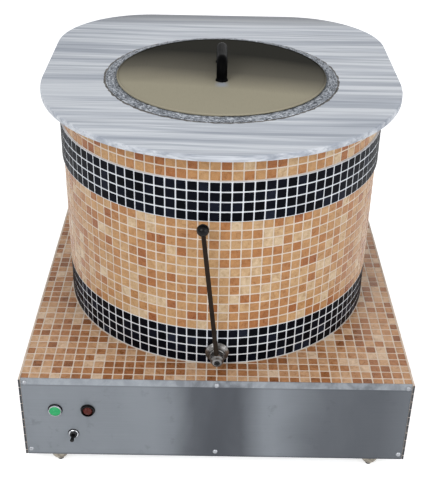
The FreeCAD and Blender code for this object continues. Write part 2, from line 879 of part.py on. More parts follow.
def hearth_plate():
    """The refractory floor of the oven, with a bevelled opening over the burner."""
    body = new_body("hearth_plate")
    revolve(body, [
        ("hearth_opening_radius", "board_top"),
        ("hearth_radius", "board_top"),
        ("hearth_radius", "hearth_top"),
        ("hearth_opening_radius + hearth_bevel", "hearth_top"),
        ("hearth_opening_radius", "hearth_top - hearth_bevel"),
    ])
    place(body)
    return body


def clay_pot():
    """The thick clay pot: an upright foot, a swelling wall and a drawn-in, rounded mouth."""
    body = new_body("clay_pot")
    foot_top = "hearth_top + pot_foot_band"
    rim = "slab_bottom - pot_wall / 2"
    revolve(body, [
        ("pot_foot_radius - pot_wall - pot_foot_taper", "hearth_top"),
        ("pot_foot_radius", "hearth_top"),
        ("pot_foot_radius", foot_top),
        ("pot_rim_radius", rim, "pot_curve_radius", -1),
        ("pot_rim_radius", "slab_bottom"),
        ("mouth_radius", "slab_bottom"),
        ("mouth_radius", rim),
        ("pot_foot_radius - pot_wall - pot_foot_taper", foot_top, "pot_curve_radius - pot_wall", 1),
    ])
    place(body)
    return body


def insulation():
    """The packed insulation between pot and drum, hollowed out round the gas cock."""
    body = new_body("insulation_fill")
    foot_top = "hearth_top + pot_foot_band"
    rim = "slab_bottom - pot_wall / 2"
    revolve(body, [
        ("hearth_radius + seat_gap", "board_top"),
        ("shell_bore - seat_gap", "board_top"),
        ("shell_bore - seat_gap", "slab_bottom"),
        ("pot_rim_radius + seat_gap", "slab_bottom"),
        ("pot_rim_radius + seat_gap", rim),
        ("hearth_radius + seat_gap", foot_top, "pot_curve_radius", 1),
    ])
    recess = new_sketch(body, "XY", "cock_recess")
    block_curve(recess, "-cock_recess_width / 2", "-shell_radius", "cock_recess_width / 2",
                "-(hearth_radius - cock_recess_inset)")
    recess.AttachmentOffset = Placement(Vector(0, 0, number("board_top")), Rotation())
    bind(recess, "AttachmentOffset.Base.z", "board_top")
    pocket(body, recess, "cock_recess_height", reverse=True)
    place(body)
    return body


hearth_plate()
clay_pot()
insulation()


def marble_slab():
    """The marble top: a half round to the front, straight sides and rounded back corners."""
    body = new_body("marble_slab")
    outline = new_sketch(body, "XY", "outline")
    shoulder = "slab_half_width - slab_front_reach"
    corner = "slab_back_reach - slab_corner_radius"
    flat = "slab_half_width - slab_corner_radius"
    trace(outline, [
        ("-slab_half_width", shoulder),
        ("0", "-slab_front_reach", "slab_half_width", -1),
        ("slab_half_width", shoulder, "slab_half_width", -1),
        ("slab_half_width", corner),
        (flat, "slab_back_reach", "slab_corner_radius", -1),
        ("-(" + flat + ")", "slab_back_reach"),
        ("-slab_half_width", corner, "slab_corner_radius", -1),
    ])
    ring_curve(outline, "0", "0", "ring_radius + seat_gap")
    board = pad(body, outline, "slab_thickness")
    doc.recompute()
    top_edges = []
    for index, edge in enumerate(body.Shape.Edges, start=1):
        box = edge.BoundBox
        level = box.ZMin > number("slab_thickness") - 0.01
        outer = max(abs(box.XMax), abs(box.XMin), abs(box.YMin), abs(box.YMax)) > number("ring_radius") + 5
        if level and outer:
            top_edges.append("Edge" + str(index))
    rounding = body.newObject("PartDesign::Fillet", "marble_slab_edge")
    rounding.Base = (board, top_edges)
    rounding.Radius = number("slab_edge_round")
    bind(rounding, "Radius", "slab_edge_round")
    place(body, "0", "0", "slab_bottom")
    return body


def mouth_ring():
    """The refractory ring in the slab's hole, with a rebate for the lid and a lip on the marble."""
    body = new_body("mouth_ring")
    lip = "ring_radius + ring_lip_width"
    revolve(body, [
        ("mouth_radius", "slab_bottom"),
        ("ring_radius", "slab_bottom"),
        ("ring_radius", "slab_top"),
        (lip, "slab_top"),
        (lip + " - ring_edge_slope", "slab_top + ring_lip_height"),
        ("ring_radius - ring_step", "slab_top + ring_lip_height + ring_step_rise"),
        ("ring_radius - ring_crown_inset", "ring_top"),
        ("rebate_radius + ring_bevel", "ring_top"),
        ("rebate_radius", "ring_top - ring_bevel"),
        ("rebate_radius", "rebate_top"),
        ("mouth_radius + mouth_round", "rebate_top"),
        ("mouth_radius", "rebate_top - mouth_round", "mouth_round", -1),
    ])
    place(body)
    return body


marble_slab()
mouth_ring()


def slab_clips():
    """The two small black clips under the front of the slab."""
    clips = []
    for side, angle in ((-1, "left_clip_angle"), (1, "right_clip_angle")):
        width = number("clip_width")
        gauge = number("clip_gauge")
        face = number("drum_radius + seat_gap")
        leg = Part.makeBox(width, gauge, number("clip_drop"),
                           Vector(-width / 2, -face - gauge, number("slab_bottom - clip_drop")))
        shelf = Part.makeBox(width, number("clip_reach"), gauge,
                             Vector(-width / 2, -face - number("clip_reach"),
                                    number("slab_bottom - clip_gauge")))
        clip = leg.fuse(shelf).removeSplitter()
        clip.rotate(Vector(), Vector(0, 0, 1), side * number(angle))
        clips.append(clip)
    group = doc.addObject("Part::Feature", "slab_clips")
    group.Shape = Part.makeCompound(clips)
    group.Placement = Placement()
    return node_of(group, "slab_clips")


slab_clips()


# ---------------------------------------------------------------- lid

def lid_disc():
    """The stainless lid: a slightly crowned sheet with a rolled bead round its edge."""
    body = new_body("lid_disc")
    edge = "lid_radius - lid_bead_radius"
    low = "lid_bottom + lid_bead_radius - lid_gauge / 2"
    crown_radius = "((" + edge + ") ^ 2 + lid_crown ^ 2) / (2 * lid_crown)"
    revolve(body, [
        ("0", low + " + lid_crown"),
        (edge, low, crown_radius, 1),
        (edge, "lid_bottom"),
        ("lid_radius", "lid_bottom + lid_bead_radius", "lid_bead_radius", -1),
        (edge, "lid_bottom + 2 * lid_bead_radius", "lid_bead_radius", -1),
        (edge, "lid_plate_top"),
        ("0", "lid_plate_top + lid_crown", crown_radius, -1),
    ])
    holes = new_sketch(body, "XY", "handle_holes")
    for side in ("-", ""):
        ring_curve(holes, "0", side + "handle_span / 2", "handle_screw_radius + thread_gap")
    pocket(body, holes, midplane=True)
    place(body)
    return body


def lid_surface_at(distance):
    """The height of the lid's upper face at a distance from its axis."""
    edge = "(lid_radius - lid_bead_radius)"
    bend = "((" + edge + " ^ 2 + lid_crown ^ 2) / (2 * lid_crown))"
    return "lid_plate_top + lid_crown - " + bend + " + sqrt(" + bend + " ^ 2 - (" + distance + ") ^ 2)"


def lid_handle():
    """The bow handle: a round grip on two legs that stand on widened feet."""
    foot_z = lid_surface_at("handle_span / 2 - handle_foot_radius")
    half = number("handle_span") / 2
    low = number(foot_z)
    high = low + number("handle_rise") - number("handle_radius")
    bend = number("handle_bend_radius")
    turn = bend * (1 - math.sqrt(0.5))
    path = Part.Wire([
        Part.LineSegment(Vector(0, -half, low), Vector(0, -half, high - bend)).toShape(),
        Part.Arc(Vector(0, -half, high - bend), Vector(0, -half + turn, high - turn),
                 Vector(0, -half + bend, high)).toShape(),
        Part.LineSegment(Vector(0, -half + bend, high), Vector(0, half - bend, high)).toShape(),
        Part.Arc(Vector(0, half - bend, high), Vector(0, half - turn, high - turn),
                 Vector(0, half, high - bend)).toShape(),
        Part.LineSegment(Vector(0, half, high - bend), Vector(0, half, low)).toShape(),
    ])
    section = Part.Wire([Part.makeCircle(number("handle_radius"), Vector(0, -half, low), Vector(0, 0, 1))])
    bow = path.makePipeShell([section], True, False)
    screw = number("handle_screw_radius + thread_gap")
    for sign in (-1, 1):
        foot_collar = Part.makeCone(number("handle_foot_radius"), number("handle_radius"),
                                    number("handle_foot_height"), Vector(0, sign * half, low))
        bow = bow.fuse(foot_collar)
        hole = Part.makeCylinder(screw, number("handle_screw_grip"), Vector(0, sign * half, low))
        bow = bow.cut(hole)
    handle = doc.addObject("Part::Feature", "lid_handle")
    handle.Shape = bow.removeSplitter()
    handle.Placement = Placement(Vector(0, 0, 0), Rotation())
    return node_of(handle, "lid_handle")


def handle_screws():
    """The two screws of the handle, with their washers, up through the lid."""
    screws = []
    half = number("handle_span") / 2
    under = number(lid_surface_at("handle_span / 2") + " - lid_gauge") - number("seat_gap")
    washer = number("handle_washer_thickness")
    for sign in (-1, 1):
        spot = Vector(0, sign * half, under - washer)
        disc = Part.makeCylinder(number("handle_washer_radius"), washer, spot)
        head = Part.makeCylinder(number("handle_head_radius"), number("handle_head_height"),
                                 Vector(0, sign * half, under - washer - number("handle_head_height")))
        shank = Part.makeCylinder(number("handle_screw_radius"),
                                  washer + number("lid_gauge + handle_screw_grip - hole_gap"), spot)
        screws.append(disc.fuse(head).fuse(shank).removeSplitter())
    group = doc.addObject("Part::Feature", "handle_screws")
    group.Shape = Part.makeCompound(screws)
    group.Placement = Placement()
    return node_of(group, "handle_screws")


lid_disc()
lid_handle()
handle_screws()


# ---------------------------------------------------------------- lever and gas cock

TURNED_FORWARD = Vector(1, 0, 0)


def forward(body, face, x="0", z="pivot_height", lean=False):
    """Lay a turned piece along -Y, with its own Z towards the front, upright or leaning."""
    place(body, x, "-(" + face + ")", z, axis=TURNED_FORWARD, angle=90)
    if lean:
        tilt = Rotation(Vector(0, -1, 0), number("lever_lean"))
        body.Placement.Rotation = tilt.multiply(Rotation(TURNED_FORWARD, 90))


def boss_flange():
    """The bell-shaped boss at the foot of the drum, which carries the lever's spindle."""
    body = new_body("boss_flange")
    bore = "spindle_radius + shaft_gap"
    waist = "boss_nose_radius + boss_waist_step"
    revolve(body, [
        (bore, "0"),
        ("boss_flange_radius", "0"),
        ("boss_flange_radius", "boss_flange_thickness - boss_flange_bevel"),
        ("boss_flange_radius - boss_flange_bevel", "boss_flange_thickness"),
        (waist, "boss_length - boss_neck", "boss_length - boss_neck", 1),
        ("boss_nose_radius", "boss_length - boss_collar"),
        ("boss_nose_radius", "boss_length"),
        (bore, "boss_length"),
    ])
    forward(body, "boss_face")
    return body


def lever_hub():
    """The hub that the lever is screwed into, with a domed nose, on the end of the spindle."""
    body = new_body("lever_hub")
    bore = "spindle_radius + shaft_gap"
    revolve(body, [
        ("0", "spindle_seat_depth"),
        (bore, "spindle_seat_depth"),
        (bore, "0"),
        ("hub_radius", "0"),
        ("hub_radius", "hub_length - hub_shoulder"),
        ("hub_nose_radius", "hub_length - hub_taper_end"),
        ("hub_nose_radius", "hub_length - hub_nose_round"),
        ("hub_nose_radius - hub_nose_round", "hub_length", "hub_nose_round", -1),
        ("0", "hub_length"),
    ])
    socket = new_sketch(body, "XZ", "rod_socket")
    ring_curve(socket, "0", "hub_middle", "lever_rod_radius + thread_gap")
    pocket(body, socket, "hub_radius + hole_gap")
    forward(body, "hub_face", lean=True)
    return body


def lever_rod():
    """The long thin lever, rounded where it enters the hub and the knob."""
    body = new_body("lever_rod")
    revolve(body, [
        ("0", "spindle_radius + rod_end_gap"),
        ("lever_rod_radius - rod_bevel", "spindle_radius + rod_end_gap"),
        ("lever_rod_radius", "spindle_radius + rod_end_gap + rod_bevel"),
        ("lever_rod_radius", "knob_socket_top - seat_gap"),
        ("0", "knob_socket_top - seat_gap"),
    ])
    place(body, "0", "-(hub_face + hub_middle)", "pivot_height", axis=Vector(0, -1, 0),
          angle=number("lever_lean"))
    return body


def lever_knob():
    """The black ball on the end of the lever, bored for the rod."""
    body = new_body("lever_knob")
    bore = "lever_rod_radius + thread_gap"
    mouth = "lever_length - sqrt(knob_radius ^ 2 - (" + bore + ") ^ 2)"
    revolve(body, [
        (bore, mouth),
        ("0", "lever_length + knob_radius", "knob_radius", -1),
        ("0", "knob_socket_top"),
        (bore, "knob_socket_top"),
    ])
    place(body, "0", "-(hub_face + hub_middle)", "pivot_height", axis=Vector(0, -1, 0),
          angle=number("lever_lean"))
    return body


def cock_plug():
    """The tapered plug of the gas cock with its spindle, cross port, tail and nut."""
    body = new_body("cock_plug")
    nut_end = "-(plug_nut_thickness + seat_gap)"
    spindle_end = "hub_face - cock_back + spindle_seat_depth - seat_gap"
    revolve(body, [
        ("0", nut_end),
        ("plug_nut_radius", nut_end),
        ("plug_nut_radius", "-seat_gap"),
        ("plug_tail_radius", "-seat_gap"),
        ("plug_tail_radius", "cock_end_wall"),
        ("plug_rear_radius - shaft_gap", "cock_end_wall"),
        ("plug_front_radius - shaft_gap", "cock_length - cock_end_wall"),
        ("spindle_radius", "cock_length - cock_end_wall"),
        ("spindle_radius", spindle_end),
        ("0", spindle_end),
    ])
    port = new_sketch(body, "YZ", "cross_port")
    ring_curve(port, "0", "cock_length / 2", "plug_port_radius")
    pocket(body, port, midplane=True)
    forward(body, "cock_back", lean=True)
    return body


def cock_body():
    """The body of the gas cock: a taper seat along Y and two pipe ports along X."""
    body = new_body("cock_body")
    barrel = new_sketch(body, "XY", "barrel")
    ring_curve(barrel, "0", "0", "cock_radius")
    pad(body, barrel, "cock_length")
    arms = new_sketch(body, "YZ", "arms")
    ring_curve(arms, "0", "cock_length / 2", "cock_port_radius")
    pad(body, arms, "2 * cock_port_reach", midplane=True)
    seat = new_sketch(body, "XZ", "taper_seat")
    trace(seat, [
        ("0", "-hole_gap"),
        ("plug_tail_radius + shaft_gap", "-hole_gap"),
        ("plug_tail_radius + shaft_gap", "cock_end_wall - seat_gap"),
        ("plug_rear_radius", "cock_end_wall - seat_gap"),
        ("plug_rear_radius", "cock_end_wall"),
        ("plug_front_radius", "cock_length - cock_end_wall"),
        ("plug_front_radius", "cock_length - cock_end_wall + seat_gap"),
        ("spindle_radius + shaft_gap", "cock_length - cock_end_wall + seat_gap"),
        ("spindle_radius + shaft_gap", "cock_length + hole_gap"),
        ("0", "cock_length + hole_gap"),
    ])
    groove = body.newObject("PartDesign::Groove", "cock_body_taper_cut")
    groove.Profile = seat
    groove.ReferenceAxis = (seat, ["V_Axis"])
    groove.Angle = 360
    gas_way = new_sketch(body, "YZ", "gas_way")
    ring_curve(gas_way, "0", "cock_length / 2", "plug_port_radius")
    pocket(body, gas_way, midplane=True)
    forward(body, "cock_back")
    return body


boss_flange()
lever_hub()
lever_rod()
lever_knob()
cock_plug()
cock_body()


# ---------------------------------------------------------------- gas line and burner

def pipe_run(corners):
    """A bent pipe through the given corners."""
    radius = number("pipe_bend_radius")
    edges = []
    start = corners[0]
    for before, corner, after in zip(corners, corners[1:], corners[2:]):
        inward = (before - corner).normalize()
        outward = (after - corner).normalize()
        bend_start = corner + inward * radius
        bend_end = corner + outward * radius
        centre = corner + inward * radius + outward * radius
        middle = centre - (inward + outward).normalize() * radius
        edges.append(Part.LineSegment(start, bend_start).toShape())
        edges.append(Part.Arc(bend_start, middle, bend_end).toShape())
        start = bend_end
    edges.append(Part.LineSegment(start, corners[-1]).toShape())
    path = Part.Wire(edges)
    along = (corners[1] - corners[0]).normalize()
    tubes = []
    for size in ("pipe_radius", "pipe_bore_radius"):
        section = Part.Wire([Part.makeCircle(number(size), corners[0], along)])
        tubes.append(path.makePipeShell([section], True, False))
    return tubes[0].cut(tubes[1])


def supply_pipe():
    """The gas supply: a threaded union at the back, and the pipe to the cock's left port."""
    inlet_x = -number("inlet_offset")
    drop_x = -number("pipe_drop_offset")
    front_y = -number("cock_middle")
    low = number("supply_height")
    high = number("pivot_height")
    back = number("half_base")
    run = pipe_run([
        Vector(inlet_x, back, low),
        Vector(inlet_x, front_y, low),
        Vector(drop_x, front_y, low),
        Vector(drop_x, front_y, high),
        Vector(-number("cock_port_reach"), front_y, high),
    ])
    backward = Vector(0, 1, 0)
    face = back + number("seat_gap")
    collar = Part.makeCylinder(number("inlet_collar_radius"), number("inlet_collar_thickness"),
                               Vector(inlet_x, face, low), backward)
    inner = Part.makeCylinder(number("inlet_thread_radius"), number("seat_gap + sheet_gauge + inlet_inner_length"),
                              Vector(inlet_x, back - number("sheet_gauge + inlet_inner_length"), low), backward)
    thread = Part.makeCylinder(number("inlet_thread_radius"), number("inlet_thread_length"),
                               Vector(inlet_x, face + number("inlet_collar_thickness"), low), backward)
    depth = number("inlet_bore_depth")
    reach = depth + number("inlet_collar_thickness + inlet_thread_length + inlet_bore_depth")
    bore = Part.makeCylinder(number("pipe_bore_radius"), reach, Vector(inlet_x, back - depth, low),
                             backward)
    pipe = doc.addObject("Part::Feature", "supply_pipe")
    pipe.Shape = run.fuse([collar, inner, thread]).cut(bore).removeSplitter()
    pipe.Placement = Placement()
    return node_of(pipe, "supply_pipe")


def burner_pipe():
    """The pipe from the cock's right port down to the block under the burner."""
    drop_x = number("pipe_drop_offset")
    front_y = -number("cock_middle")
    high = number("pivot_height")
    low = number("jet_middle")
    pipe = doc.addObject("Part::Feature", "burner_pipe")
    pipe.Shape = pipe_run([
        Vector(number("cock_port_reach"), front_y, high),
        Vector(drop_x, front_y, high),
        Vector(drop_x, front_y, low),
        Vector(drop_x, 0, low),
        Vector(number("jet_block_side / 2"), 0, low),
    ])
    pipe.Placement = Placement()
    return node_of(pipe, "burner_pipe")


def burner_bracket():
    """The welded strap under the deck beams that carries the mixing tube and the jet block."""
    body = new_body("burner_bracket")
    side_view = new_sketch(body, "YZ", "side_view")
    reach = "beam_spacing / 2 + beam_flange"
    inner = "bracket_gap / 2"
    outer = "(bracket_gap / 2 + bracket_gauge)"
    under = "beam_bottom - bracket_gauge"
    trace(side_view, [
        ("-(" + reach + ")", under),
        ("-" + outer, under),
        ("-" + outer, "bracket_bottom"),
        (outer, "bracket_bottom"),
        (outer, under),
        (reach, under),
        (reach, "beam_bottom"),
        (inner, "beam_bottom"),
        (inner, "bracket_bottom + bracket_gauge"),
        ("-" + inner, "bracket_bottom + bracket_gauge"),
        ("-" + inner, "beam_bottom"),
        ("-(" + reach + ")", "beam_bottom"),
    ])
    pad(body, side_view, "bracket_width", midplane=True)
    top_plate = new_sketch(body, "XY", "top_plate")
    block_curve(top_plate, "-bracket_width / 2", "-" + outer, "bracket_width / 2", outer)
    top_plate.AttachmentOffset = Placement(Vector(0, 0, number(under)), Rotation())
    bind(top_plate, "AttachmentOffset.Base.z", under)
    pad(body, top_plate, "bracket_gauge")
    holes = new_sketch(body, "XY", "holes")
    ring_curve(holes, "0", "0", "mixer_radius + seat_gap")
    ring_curve(holes, "0", "electrode_offset", "electrode_radius + seat_gap")
    holes.AttachmentOffset = Placement(Vector(0, 0, number(under)), Rotation())
    bind(holes, "AttachmentOffset.Base.z", under)
    pocket(body, holes, "bracket_gauge", reverse=True)
    place(body)
    return body


def mixing_tube():
    """The burner's mixing tube: a flared air mouth, a flange and a straight throat."""
    body = new_body("mixing_tube")
    mouth = "bracket_bottom + bracket_gauge + jet_block_height + jet_height + mixer_mouth_gap"
    revolve(body, [
        ("mixer_mouth_radius - mixer_mouth_lip", mouth),
        ("mixer_mouth_radius", mouth),
        ("mixer_radius", mouth + " + mixer_flare_height", "mixer_flare_radius", 1),
        ("mixer_radius", "plate_top"),
        ("mixer_flange_radius", "plate_top"),
        ("mixer_flange_radius", "plate_top + mixer_flange_thickness"),
        ("mixer_radius", "plate_top + mixer_flange_thickness"),
        ("mixer_radius", "burner_bottom + burner_seat_depth"),
        ("mixer_radius - mixer_wall", "burner_bottom + burner_seat_depth"),
        ("mixer_radius - mixer_wall", mouth + " + mixer_flare_height"),
    ])
    place(body)
    return body


def burner_head():
    """The cast burner: a bell on the mixing tube, a domed cap and a ring of flame ports."""
    body = new_body("burner_head")
    bore = "mixer_radius + seat_gap"
    cap_bend = "((burner_radius - burner_cap_round) ^ 2 + burner_cap_rise ^ 2) / (2 * burner_cap_rise)"
    revolve(body, [
        ("0", "burner_bottom + burner_seat_depth + seat_gap"),
        (bore, "burner_bottom + burner_seat_depth + seat_gap"),
        (bore, "burner_bottom"),
        ("mixer_radius + burner_hub_wall", "burner_bottom"),
        ("burner_radius", "burner_top - burner_rim_height", "burner_bowl_radius", 1),
        ("burner_radius", "burner_top - burner_cap_round"),
        ("burner_radius - burner_cap_round", "burner_top", "burner_cap_round", -1),
        ("0", "burner_top + burner_cap_rise", cap_bend, -1),
    ])
    slot = new_sketch(body, "XZ", "port")
    block_curve(slot, "-burner_port_width / 2", "burner_top - burner_port_drop - burner_port_height",
                "burner_port_width / 2", "burner_top - burner_port_drop")
    slot.AttachmentOffset = Placement(Vector(0, 0, number("burner_radius - burner_port_depth")), Rotation())
    bind(slot, "AttachmentOffset.Base.z", "burner_radius - burner_port_depth")
    cut = pocket(body, slot, reverse=True)
    ports = body.newObject("PartDesign::PolarPattern", "burner_head_ports")
    ports.Originals = [cut]
    ports.Axis = (slot, ["V_Axis"])
    ports.Angle = 360
    ports.Occurrences = int(number("burner_port_count"))
    bind(ports, "Occurrences", "burner_port_count")
    body.Tip = ports
    place(body)
    return body


def jet_block():
    """The brass block under the mixing tube, with its upright gas jet and its pipe port."""
    body = new_body("jet_block")
    outline = new_sketch(body, "XY", "outline")
    half = "jet_block_side / 2"
    block_curve(outline, "-" + half, "-" + half, half, half)
    pad(body, outline, "jet_block_height")
    jet = new_sketch(body, "XY", "jet")
    ring_curve(jet, "0", "0", "jet_radius")
    pad(body, jet, "jet_block_height + jet_height")
    gas_way = new_sketch(body, "YZ", "gas_way")
    ring_curve(gas_way, "0", "jet_block_height / 2", "pipe_bore_radius")
    pocket(body, gas_way, half)
    place(body, "0", "0", "bracket_bottom + bracket_gauge")
    return body


def spark_electrode():
    """The ceramic spark electrode beside the burner, on its collar."""
    body = new_body("spark_electrode")
    revolve(body, [
        ("0", "plate_top - electrode_tail"),
        ("electrode_radius", "plate_top - electrode_tail"),
        ("electrode_radius", "plate_top"),
        ("electrode_collar_radius", "plate_top"),
        ("electrode_collar_radius", "plate_top + electrode_collar_height"),
        ("electrode_radius", "plate_top + electrode_collar_height"),
        ("electrode_radius", "burner_top - electrode_tip_drop"),
        ("electrode_wire_radius", "burner_top - electrode_tip_drop"),
        ("electrode_wire_radius", "burner_top + electrode_tip_rise"),
        ("0", "burner_top + electrode_tip_rise"),
    ])
    place(body, "0", "electrode_offset", "0")
    return body


def spark_box():
    """The spark generator on the floor pan, behind the controls."""
    low_x = "-lamp_offset - spark_box_length / 2"
    low_y = "-half_base + spark_box_setback"
    floor = "pan_bottom + pan_gauge"
    high = ("-lamp_offset + spark_box_length / 2", low_y + " + spark_box_depth",
            floor + " + spark_box_height")
    return node_of(slab_between("spark_box", (low_x, low_y, floor), high), "spark_box")


supply_pipe()
burner_pipe()
burner_bracket()
mixing_tube()
burner_head()
jet_block()
spark_electrode()
spark_box()


# ---------------------------------------------------------------- controls

def control_housing(label, offset):
    """The chromed bezel and barrel of a 22 mm control, with the block behind the panel."""
    body = new_body(label)
    stem_bore = "stem_radius + button_bore_gap"
    cup = "button_radius + button_bore_gap"
    revolve(body, [
        (stem_bore, "-barrel_length"),
        ("barrel_radius", "-barrel_length"),
        ("barrel_radius", "0"),
        ("bezel_radius", "0"),
        ("bezel_radius", "bezel_height - bezel_bevel_height"),
        ("bezel_radius - bezel_bevel", "bezel_height"),
        (cup, "bezel_height"),
        (cup, "bezel_floor"),
        (stem_bore, "bezel_floor"),
    ])
    block_on(body, "barrel_length")
    forward(body, "control_face", "-" + offset, "button_height")
    return body


def block_on(body, depth):
    """Add the square contact block behind a control's barrel."""
    block = new_sketch(body, "XY", "block")
    half = "block_side / 2"
    block_curve(block, "-" + half, "-" + half, half, half)
    block.AttachmentOffset = Placement(Vector(0, 0, -number(depth)), Rotation())
    bind(block, "AttachmentOffset.Base.z", "-" + depth)
    pad(body, block, "block_depth", reverse=True)


def push_button():
    """The green button: a flat cap in the bezel's cup, on a stem in its barrel."""
    body = new_body("push_button")
    under = "bezel_floor + button_travel + seat_gap"
    revolve(body, [
        ("0", "button_travel + button_stem_gap - barrel_length"),
        ("stem_radius", "button_travel + button_stem_gap - barrel_length"),
        ("stem_radius", under),
        ("button_radius", under),
        ("button_radius", under + " + button_rim - button_round"),
        ("button_radius - button_round", under + " + button_rim", "button_round", -1),
        ("0", under + " + button_rim + button_crown"),
    ])
    forward(body, "control_face", "-button_offset", "button_height")
    return body


def pilot_lens():
    """The lens of the pilot lamp, a low dome in its bezel."""
    body = new_body("pilot_lens")
    revolve(body, [
        ("0", "4 - barrel_length"),
        ("stem_radius", "4 - barrel_length"),
        ("stem_radius", "bezel_floor + seat_gap"),
        ("button_radius", "bezel_floor + seat_gap"),
        ("button_radius", "bezel_height"),
        ("0", "bezel_height + lens_rise", "(button_radius ^ 2 + lens_rise ^ 2) / (2 * lens_rise)", -1),
    ])
    forward(body, "control_face", "-lamp_offset", "button_height")
    return body


def toggle_body():
    """The chromed bush and ring nut of the toggle switch, with the block behind the panel."""
    body = new_body("toggle_body")
    revolve(body, [
        ("toggle_bore_radius", "-toggle_bush_length"),
        ("toggle_bush_radius", "-toggle_bush_length"),
        ("toggle_bush_radius", "0"),
        ("toggle_nut_radius", "0"),
        ("toggle_nut_radius", "toggle_nut_thickness - toggle_nut_bevel"),
        ("toggle_nut_radius - toggle_nut_bevel", "toggle_nut_thickness"),
        ("toggle_bush_radius", "toggle_nut_thickness"),
        ("toggle_bush_radius", "toggle_bush_stand"),
        ("toggle_bore_radius", "toggle_bush_stand"),
    ])
    block_on(body, "toggle_bush_length")
    forward(body, "control_face", "-toggle_offset", "toggle_height")
    return body


def toggle_bat():
    """The bat of the toggle switch: a ball in the bush and a tapered lever, pointing down."""
    body = new_body("toggle_bat")
    tip = "toggle_reach - toggle_tip_radius"
    neck = "sqrt(toggle_ball_radius ^ 2 - toggle_root_radius ^ 2)"
    revolve(body, [
        ("0", "-toggle_ball_radius"),
        ("toggle_root_radius", neck, "toggle_ball_radius", -1),
        ("toggle_tip_radius", tip),
        ("0", "toggle_reach", "toggle_tip_radius", -1),
    ])
    place(body, "-toggle_offset", "-(control_face + toggle_pivot_stand)", "toggle_height")
    tilt = Rotation(TURNED_FORWARD, number("90 + toggle_throw"))
    body.Placement.Rotation = Rotation(Vector(0, 1, 0), number("toggle_turn")).multiply(tilt)
    return body


def cable_gland():
    """The gland in the rear panel for the cable of the switch and the lamp, closed by a plug."""
    body = new_body("cable_gland")
    revolve(body, [
        ("0", "-gland_nut_height - sheet_gauge"),
        ("gland_nut_radius", "-gland_nut_height - sheet_gauge"),
        ("gland_nut_radius", "-sheet_gauge"),
        ("toggle_bush_radius", "-sheet_gauge"),
        ("toggle_bush_radius", "0"),
        ("gland_nut_radius", "0"),
        ("gland_nut_radius", "gland_nut_height"),
        ("toggle_bush_radius", "gland_height"),
        ("0", "gland_height"),
    ])
    place(body, "inlet_offset", "half_base", "supply_height", axis=TURNED_FORWARD, angle=-90)
    return body


control_housing("button_housing", "button_offset")
control_housing("pilot_lamp_housing", "lamp_offset")
push_button()
pilot_lens()
toggle_body()
toggle_bat()
cable_gland()


# ---------------------------------------------------------------- checks and export

doc.recompute()
for item in doc.Objects:
    if "Invalid" in item.State or "Error" in item.State:
        raise RuntimeError(item.Name + " failed: " + str(item.State))

os.makedirs("parts", exist_ok=True)
labels = set()
whole = FreeCAD.BoundBox()
for node in nodes:
    shape = node.Shape
    if shape.isNull() or not shape.isValid():
        raise RuntimeError(node.Label + " has no valid shape")
    if node.Label in labels:
        raise RuntimeError(node.Label + " is used twice")
    labels.add(node.Label)
    whole.add(shape.BoundBox)
    shape.exportStep("parts/" + node.Label + ".step")
print(len(nodes), "sub-parts;", "size", round(whole.XLength, 1), round(whole.YLength, 1), round(whole.ZLength, 1))
print("front", round(whole.YMin, 2), "back", round(whole.YMax, 2), "left", round(whole.XMin, 2),
      "right", round(whole.XMax, 2), "bottom", round(whole.ZMin, 3))
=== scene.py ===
"""Looks of the clay tandoor oven: tiles, marble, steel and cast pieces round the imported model."""
from __future__ import annotations

import json
import logging
import math
import random
from dataclasses import dataclass, field
from enum import Enum

import bmesh
import bpy
from mathutils import Matrix, Vector, noise

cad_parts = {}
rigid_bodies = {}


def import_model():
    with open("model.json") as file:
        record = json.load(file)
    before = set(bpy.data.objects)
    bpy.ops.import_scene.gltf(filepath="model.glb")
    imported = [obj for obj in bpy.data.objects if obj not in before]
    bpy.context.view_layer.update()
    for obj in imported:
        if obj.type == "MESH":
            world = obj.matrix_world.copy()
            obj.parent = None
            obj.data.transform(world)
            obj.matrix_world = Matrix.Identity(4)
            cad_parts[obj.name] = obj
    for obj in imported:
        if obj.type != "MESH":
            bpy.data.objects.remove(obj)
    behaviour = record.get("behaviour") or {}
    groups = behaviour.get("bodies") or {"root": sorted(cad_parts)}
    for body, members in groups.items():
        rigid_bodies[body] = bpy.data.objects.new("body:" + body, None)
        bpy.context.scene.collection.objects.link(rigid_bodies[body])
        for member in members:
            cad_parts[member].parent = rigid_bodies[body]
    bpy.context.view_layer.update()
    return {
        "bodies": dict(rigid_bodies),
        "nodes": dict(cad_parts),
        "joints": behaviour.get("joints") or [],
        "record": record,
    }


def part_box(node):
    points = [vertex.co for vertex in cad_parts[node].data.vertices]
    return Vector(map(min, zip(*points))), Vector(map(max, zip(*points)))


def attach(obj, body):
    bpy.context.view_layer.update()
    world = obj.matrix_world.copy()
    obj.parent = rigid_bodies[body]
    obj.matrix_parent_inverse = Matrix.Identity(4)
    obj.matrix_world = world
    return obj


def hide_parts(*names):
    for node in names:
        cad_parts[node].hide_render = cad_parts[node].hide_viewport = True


LOG = logging.getLogger("oven")

PITCH = 0.0218
SKIN = 0.005
GROUT_DROP = 0.0009
HALF_BASE = 0.4142
BASE_COLUMNS = 38
BASE_BOTTOM = 0.034
DECK_TOP = 0.242
DRUM_COLUMNS = 101
DRUM_RADIUS = DRUM_COLUMNS * PITCH / math.tau
BAND_PROUD = 0.004
LOWER_BAND_TOP = DECK_TOP + 4 * PITCH
FIELD_TOP = LOWER_BAND_TOP + 12 * PITCH
UPPER_BAND_TOP = FIELD_TOP + 4 * PITCH
SLAB_BOTTOM = UPPER_BAND_TOP + 3 * PITCH
SLAB_TOP = SLAB_BOTTOM + 0.012
RING_TOP = SLAB_TOP + 0.006
LEAST_ROW = 0.006
SMOOTH_ANGLE = 30.0
POLE_RADIUS = 1e-7

